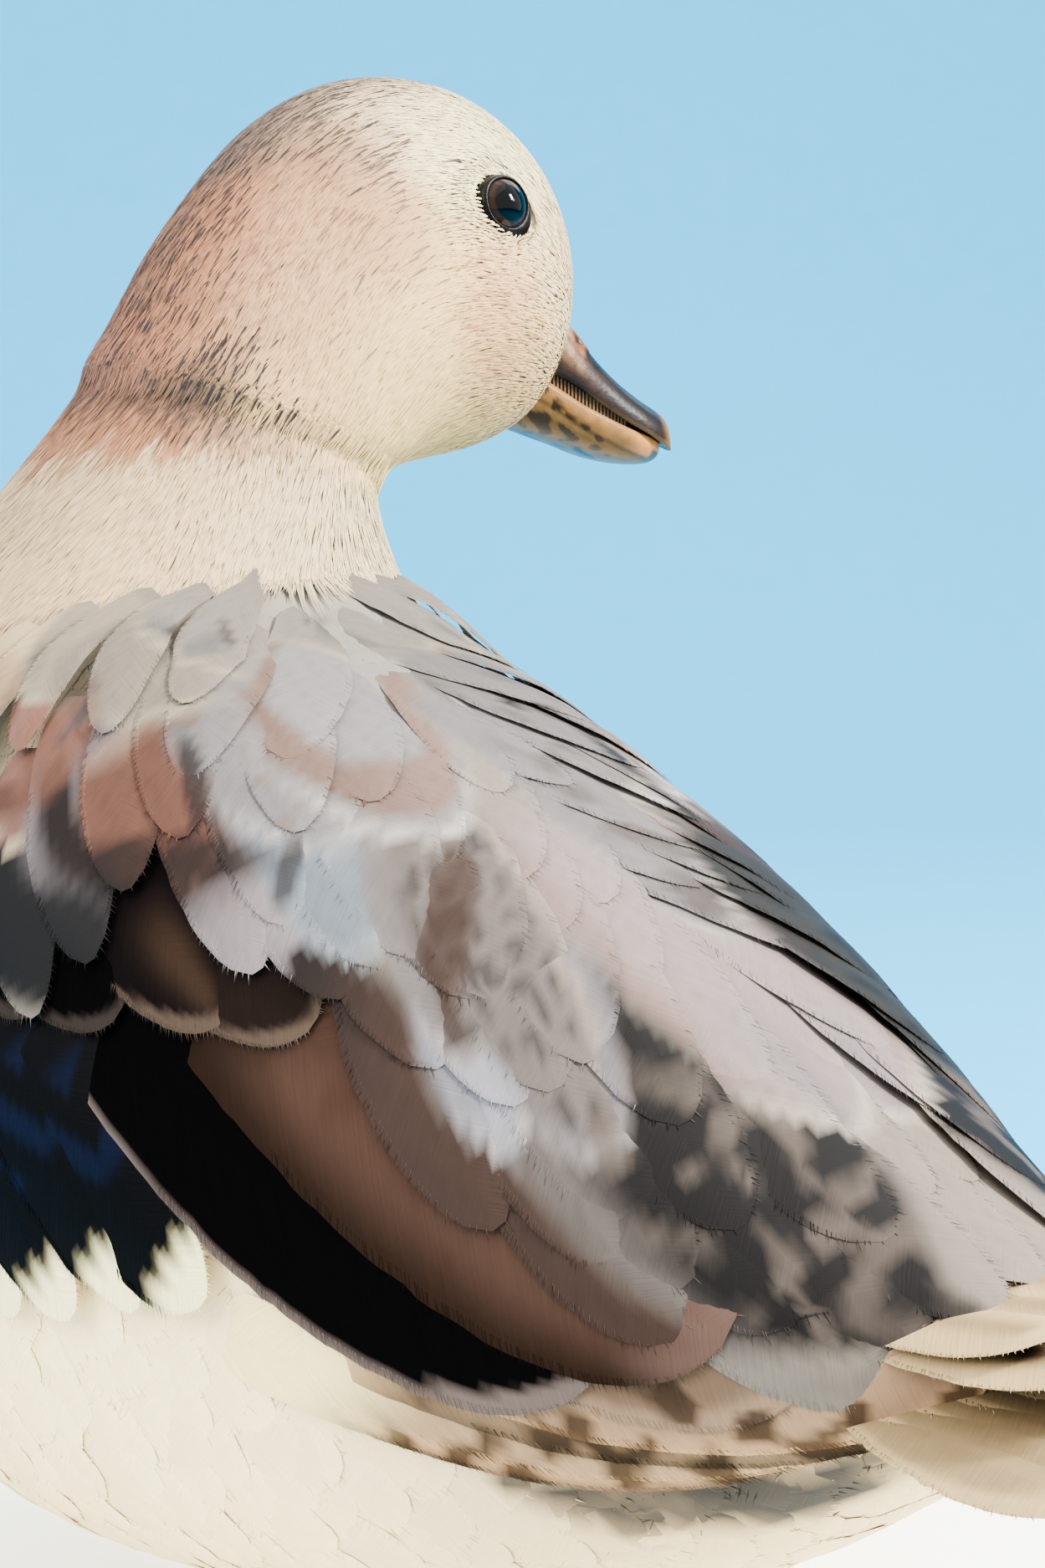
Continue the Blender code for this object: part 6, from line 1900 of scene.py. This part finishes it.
def leg_material():
    """Scaled skin: waxy and orange, with darker seams between the scales."""
    made, tree, shader = new_material("scaled_leg_skin", Roughness=0.46, IOR=1.45, Coat_Weight=0.12,
                                      Coat_Roughness=0.3)
    place = node(tree, "ShaderNodeTexCoord")
    cells = node(tree, "ShaderNodeTexVoronoi", {"Scale": 1 / LEG_CELL, "feature": "DISTANCE_TO_EDGE"},
                 {"Vector": place.outputs["Object"]})
    tint = node(tree, "ShaderNodeTexNoise", {"Scale": 140.0, "Detail": 4.0},
                {"Vector": place.outputs["Object"]})
    ramp = node(tree, "ShaderNodeValToRGB", {}, {"Fac": tint.outputs["Fac"]})
    ramp.color_ramp.elements[0].position, ramp.color_ramp.elements[1].position = 0.3, 0.7
    ramp.color_ramp.elements[0].color = (*pigment("#a8531c"), 1)
    ramp.color_ramp.elements[1].color = (*pigment("#e08a34"), 1)
    seams = node(tree, "ShaderNodeMapRange",
                 {"From Min": 0.0, "From Max": 0.12, "To Min": 0.62, "To Max": 1.0},
                 {"Value": cells.outputs["Distance"]})
    shade = node(tree, "ShaderNodeVectorMath", {"operation": "SCALE"},
                 {0: ramp.outputs["Color"], "Scale": seams.outputs["Result"]})
    wire(tree, shader, shade.outputs["Vector"], seams.outputs["Result"], 0.6, 0.0003)
    return made


def claw_material():
    """Horn of the claws: dark brown with a lighter grain."""
    made, tree, shader = new_material("claw_horn", Roughness=0.35, IOR=1.54)
    place = node(tree, "ShaderNodeTexCoord")
    grain = node(tree, "ShaderNodeTexNoise", {"Scale": 900.0, "Detail": 3.0},
                 {"Vector": place.outputs["Object"]})
    ramp = node(tree, "ShaderNodeValToRGB", {}, {"Fac": grain.outputs["Fac"]})
    ramp.color_ramp.elements[0].color = (*pigment("#221812"), 1)
    ramp.color_ramp.elements[1].color = (*pigment("#5a4432"), 1)
    wire(tree, shader, ramp.outputs["Color"])
    return made


leg_skin, claw_horn = leg_material(), claw_material()
print("made", leg_skin.name, "and", claw_horn.name)

# %% Legs and feet
# Size of the remesh in metres, and how much and how often it is smoothed
LEG_VOXEL, LEG_SMOOTH, LEG_PASSES = 0.00055, 0.5, 4


def settled(piece):
    bpy.context.view_layer.update()
    graph = bpy.context.evaluated_depsgraph_get()
    mesh = bpy.data.meshes.new_from_object(piece.evaluated_get(graph))
    piece.modifiers.clear()
    piece.data = mesh
    return piece


def make_leg(side_name):
    """Finer shank and foot over the solids of one side, flat under the sole, and horn on its claws."""
    for part in ("shank", "foot"):
        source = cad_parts[f"{part}_{side_name}"]
        piece = bpy.data.objects.new(f"{part}_{side_name}_skin", source.data.copy())
        piece.data.materials.clear()
        bpy.context.scene.collection.objects.link(piece)
        remesh = piece.modifiers.new("fine", "REMESH")
        remesh.mode, remesh.voxel_size = "VOXEL", LEG_VOXEL
        soften = piece.modifiers.new("soft", "SMOOTH")
        soften.factor, soften.iterations = LEG_SMOOTH, LEG_PASSES
        settled(piece)
        points = np.empty(len(piece.data.vertices) * 3, np.float32)
        piece.data.vertices.foreach_get("co", points)
        points = points.reshape(-1, 3)
        points[:, 2] = np.maximum(points[:, 2], 0.0)
        piece.data.vertices.foreach_set("co", points.ravel())
        piece.data.update()
        piece.data.shade_smooth()
        dress(piece, leg_skin, "leg_skin", f"{part}_{side_name}")
        print(piece.name, len(piece.data.polygons), "faces")
    for toe in ("inner", "middle", "outer", "hind"):
        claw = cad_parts[f"claw_{side_name}_{toe}"]
        claw.data.materials.clear()
        claw.data.materials.append(claw_horn)


make_leg("left")
make_leg("right")

# %% [markdown]
# The drumsticks are two short cones of down under the belly, hardly seen from above. Each is a closed
# skin with a few thousand tufts, wider than the neck's, whose tips stay inside the solids' outline.
# The same tufts as on the neck wouldn't do, because a drumstick is no part of the net.

# %% Drumsticks
# Where the legs stand in the tables' frame
LEG_X, LEG_Y = 0.0240, 0.0040
# Height, how far behind the foot's joint, outward shift and radius of the drumstick's rings
THIGH_STATIONS = (
    (0.0700, 0.0060, 0.0030, 0.0190),
    (0.0580, 0.0080, 0.0026, 0.0200),
    (0.0480, 0.0105, 0.0018, 0.0170),
    (0.0400, 0.0125, 0.0006, 0.0108),
    (0.0320, 0.0135, 0.0000, 0.0050),
)
THIGH_DEEPER = 1.2
THIGH_TUFTS = 4200
THIGH_COAT = 0.0022
THIGH_TUFT_HALF = 0.00038
# Painted shade of a tuft at root, middle and tip, darker below than on the neck because the down is deep
THIGH_PAINTED_SHADES = (0.65, 0.95, 1.04)


def thigh_surface(side, row, angle, lift=0.0):
    z, behind, out, radius = np.moveaxis(between(THIGH_STATIONS, row), -1, 0)
    x = side * LEG_X + SHIFT[0] + side * out + (radius + lift) * np.cos(angle)
    y = LEG_Y + SHIFT[1] + behind + (radius + lift) * THIGH_DEEPER * np.sin(angle)
    return np.stack((x, y, z + 0 * x), -1)


def make_thigh(side_name, side):
    rng = np.random.default_rng(41)
    rows, angles = np.meshgrid(np.linspace(0, 4, 33), np.linspace(0, TURN, 48, endpoint=False), indexing="ij")
    sections = thigh_surface(side, rows, angles, -THIGH_COAT)
    # The drumstick's skin is white, darkened a little by painted shade under the down
    white = np.broadcast_to(pigment("#e8e3d8") * SKIN_PAINTED_SHADE, sections.shape)
    loft_object(f"thigh_{side_name}_skin", sections, white, down_keratin, "body_plumage",
                f"thigh_{side_name}")
    row = rng.uniform(0.2, 4.0, THIGH_TUFTS)
    angle = rng.uniform(0, TURN, THIGH_TUFTS)
    line = []
    for t in (0.0, 0.5, 1.0):
        at = np.minimum(row + 0.75 * t, 4.0)
        lift = -THIGH_COAT + (THIGH_COAT - 0.0002) * t**0.8
        line.append(thigh_surface(side, at, angle, lift))
    line = np.stack(line, 1)
    line[:, 2, 2] = np.maximum(line[:, 2, 2] - 0.0006, 0.031)
    out = np.stack((np.cos(angle), np.sin(angle), 0 * angle), -1)[:, None]
    ahead = np.stack((line[:, 1] - line[:, 0], line[:, 2] - line[:, 1] + 1e-9), 1)
    aside = np.cross(ahead, np.repeat(out, 2, 1))
    aside /= np.linalg.norm(aside, axis=-1, keepdims=True) + 1e-12
    half = THIGH_TUFT_HALF * rng.uniform(0.8, 1.2, (THIGH_TUFTS, 1))
    rings = [np.stack((line[:, i] - aside[:, i] * half, line[:, i] + out[:, 0] * half * 0.6,
                       line[:, i] + aside[:, i] * half), 1) for i in (0, 1)]
    points = np.concatenate((rings[0], rings[1], line[:, 2:3]), 1)
    base = pigment("#e9e4d9") * rng.normal(1, 0.05, (THIGH_TUFTS, 1))
    # Painted shade: darker at each tuft's root
    colour = base[:, None] * np.repeat(THIGH_PAINTED_SHADES, (3, 3, 1))[:, None]
    bake = np.stack((0.05 + 0.9 * row / 4, 0.05 + 0.9 * angle / TURN), -1)[:, None] + TUFT_SPREAD * PATCH
    pile = new_pile()
    heap(pile, points, TUFT_FACES, np.clip(colour, 0, 1), bake)
    pour(f"thigh_{side_name}_down", pile, down_keratin, "body_plumage")


make_thigh("left", 1)
make_thigh("right", -1)

# %% [markdown]
# The set is plain: a white board on a pale sweep of blue, which belongs to the backdrop alone. One
# narrow key light makes the highlight in the eye, so it stands where the eye mirrors it to the
# camera. Large soft lights above and on both sides keep the plumage soft, one more lights the wall,
# and a bright surround fills in what they leave.

# %% Floor and backdrop
WALL_TONES = ("#1391be", "#1995c2")
FLOOR_TONE, FLOOR_REACH = "#eeeae2", 0.24
# The sweep: where its floor ends in front and starts to bend, its radius, height, half width and drop
SWEEP_REACH, SWEEP_BEND, SWEEP_RADIUS, SWEEP_WALL, SWEEP_HALF, SWEEP_DROP = 2.2, 0.9, 0.7, 2.4, 3.0, 0.004


def make_floor():
    profile = [(-SWEEP_REACH, 0.0), (SWEEP_BEND, 0.0)]
    profile += [(SWEEP_BEND + SWEEP_RADIUS * math.sin(a), SWEEP_RADIUS * (1 - math.cos(a)))
                for a in np.linspace(0.1, math.pi / 2, 12)]
    profile += [(SWEEP_BEND + SWEEP_RADIUS, SWEEP_WALL)]
    away = np.array((math.cos(VIEW_YAW), math.sin(VIEW_YAW)))
    aside = np.array((-away[1], away[0]))
    points = [(*(away * d + aside * x), z) for d, z in profile for x in (-SWEEP_HALF, SWEEP_HALF)]
    faces = [(2 * i, 2 * i + 1, 2 * i + 3, 2 * i + 2) for i in range(len(profile) - 1)]
    sweep = mesh_from("studio_sweep", np.array(points) - (0, 0, SWEEP_DROP), np.array(faces))
    made, tree, shader = new_material("matt_studio_paint", Roughness=0.9, Specular_IOR_Level=0.0)
    place = node(tree, "ShaderNodeTexCoord")
    grain = node(tree, "ShaderNodeTexNoise", {"Scale": 60.0, "Detail": 3.0},
                 {"Vector": place.outputs["Object"]})
    ramp = node(tree, "ShaderNodeValToRGB", {}, {"Fac": grain.outputs["Fac"]})
    ramp.color_ramp.elements[0].color = (*linear(WALL_TONES[0]), 1)
    ramp.color_ramp.elements[1].color = (*linear(WALL_TONES[1]), 1)
    wire(tree, shader, ramp.outputs["Color"])
    sweep.data.materials.append(made)
    around = np.linspace(0, TURN, 96, endpoint=False)
    ring = np.stack((np.cos(around) * FLOOR_REACH, np.sin(around) * FLOOR_REACH, 0 * around), -1)
    centre = len(ring)
    fan = [(i, (i + 1) % centre, centre) for i in range(centre)]
    table = mesh_from("studio_floor", np.vstack((ring, (0, 0, 0))), np.array(fan))
    made, _, shader = new_material("matt_white_board", Roughness=0.9)
    shader.inputs["Base Color"].default_value = (*pigment(FLOOR_TONE), 1)
    table.data.materials.append(made)


make_floor()
print("floor and backdrop made")

# %% Lights
TARGET = np.array((0.0, 0.0, 0.15))
# The key light stands where the eye mirrors it to the camera, a little above the pupil's middle
HIGHLIGHT_RAISED, HIGHLIGHT_BACK = 0.10, 0.10
KEY_AWAY = 0.9


def soft_light(name, place, aim, size, power, tint):
    """A square or oblong lamp that faces a target."""
    data = bpy.data.lights.new(name, "AREA")
    data.shape, data.size, data.size_y, data.energy, data.color = "RECTANGLE", size[0], size[1], power, tint
    lamp = bpy.data.objects.new(name, data)
    lamp.location = place
    lamp.rotation_mode = "QUATERNION"
    lamp.rotation_quaternion = (Vector(aim) - Vector(place)).to_track_quat("-Z", "Y")
    bpy.context.scene.collection.objects.link(lamp)


def key_place():
    """Where the key light has to stand, by the law of reflection."""
    centre, radius, axis = eye_frame("right", 1)[:3]
    facing = axis + UP * HIGHLIGHT_RAISED - FORWARD * HIGHLIGHT_BACK
    facing /= np.linalg.norm(facing)
    to_camera = np.array(camera.location) - (centre + facing * radius)
    to_camera /= np.linalg.norm(to_camera)
    return centre + (2 * facing * (facing @ to_camera) - to_camera) * KEY_AWAY


key = key_place()
print("key light at", np.round(key, 2).tolist())
soft_light("key_light", key, TARGET, (0.13, 0.27), 75.0, (1.0, 0.97, 0.93))
soft_light("top_light", (0.35, 0.1, 1.25), TARGET, (1.4, 1.4), 22.0, (1.0, 0.99, 0.97))
soft_light("left_light", (1.15, -0.35, 0.75), TARGET, (0.8, 0.8), 34.0, (1.0, 0.98, 0.95))
soft_light("far_fill", (-0.75, -0.35, 0.95), TARGET, (0.7, 0.7), 11.0, (1.0, 0.96, 0.91))
soft_light("wall_light", (-0.2, -0.2, 2.2), (-1.5, -1.5, 0.6), (2.0, 0.8), 14.0, (1.0, 1.0, 1.0))
world = bpy.data.worlds.new("studio")
world.use_nodes = True
background = world.node_tree.nodes["Background"]
background.inputs["Color"].default_value = (*linear("#fbf9f6"), 1)
background.inputs["Strength"].default_value = 3.9
bpy.context.scene.world = world
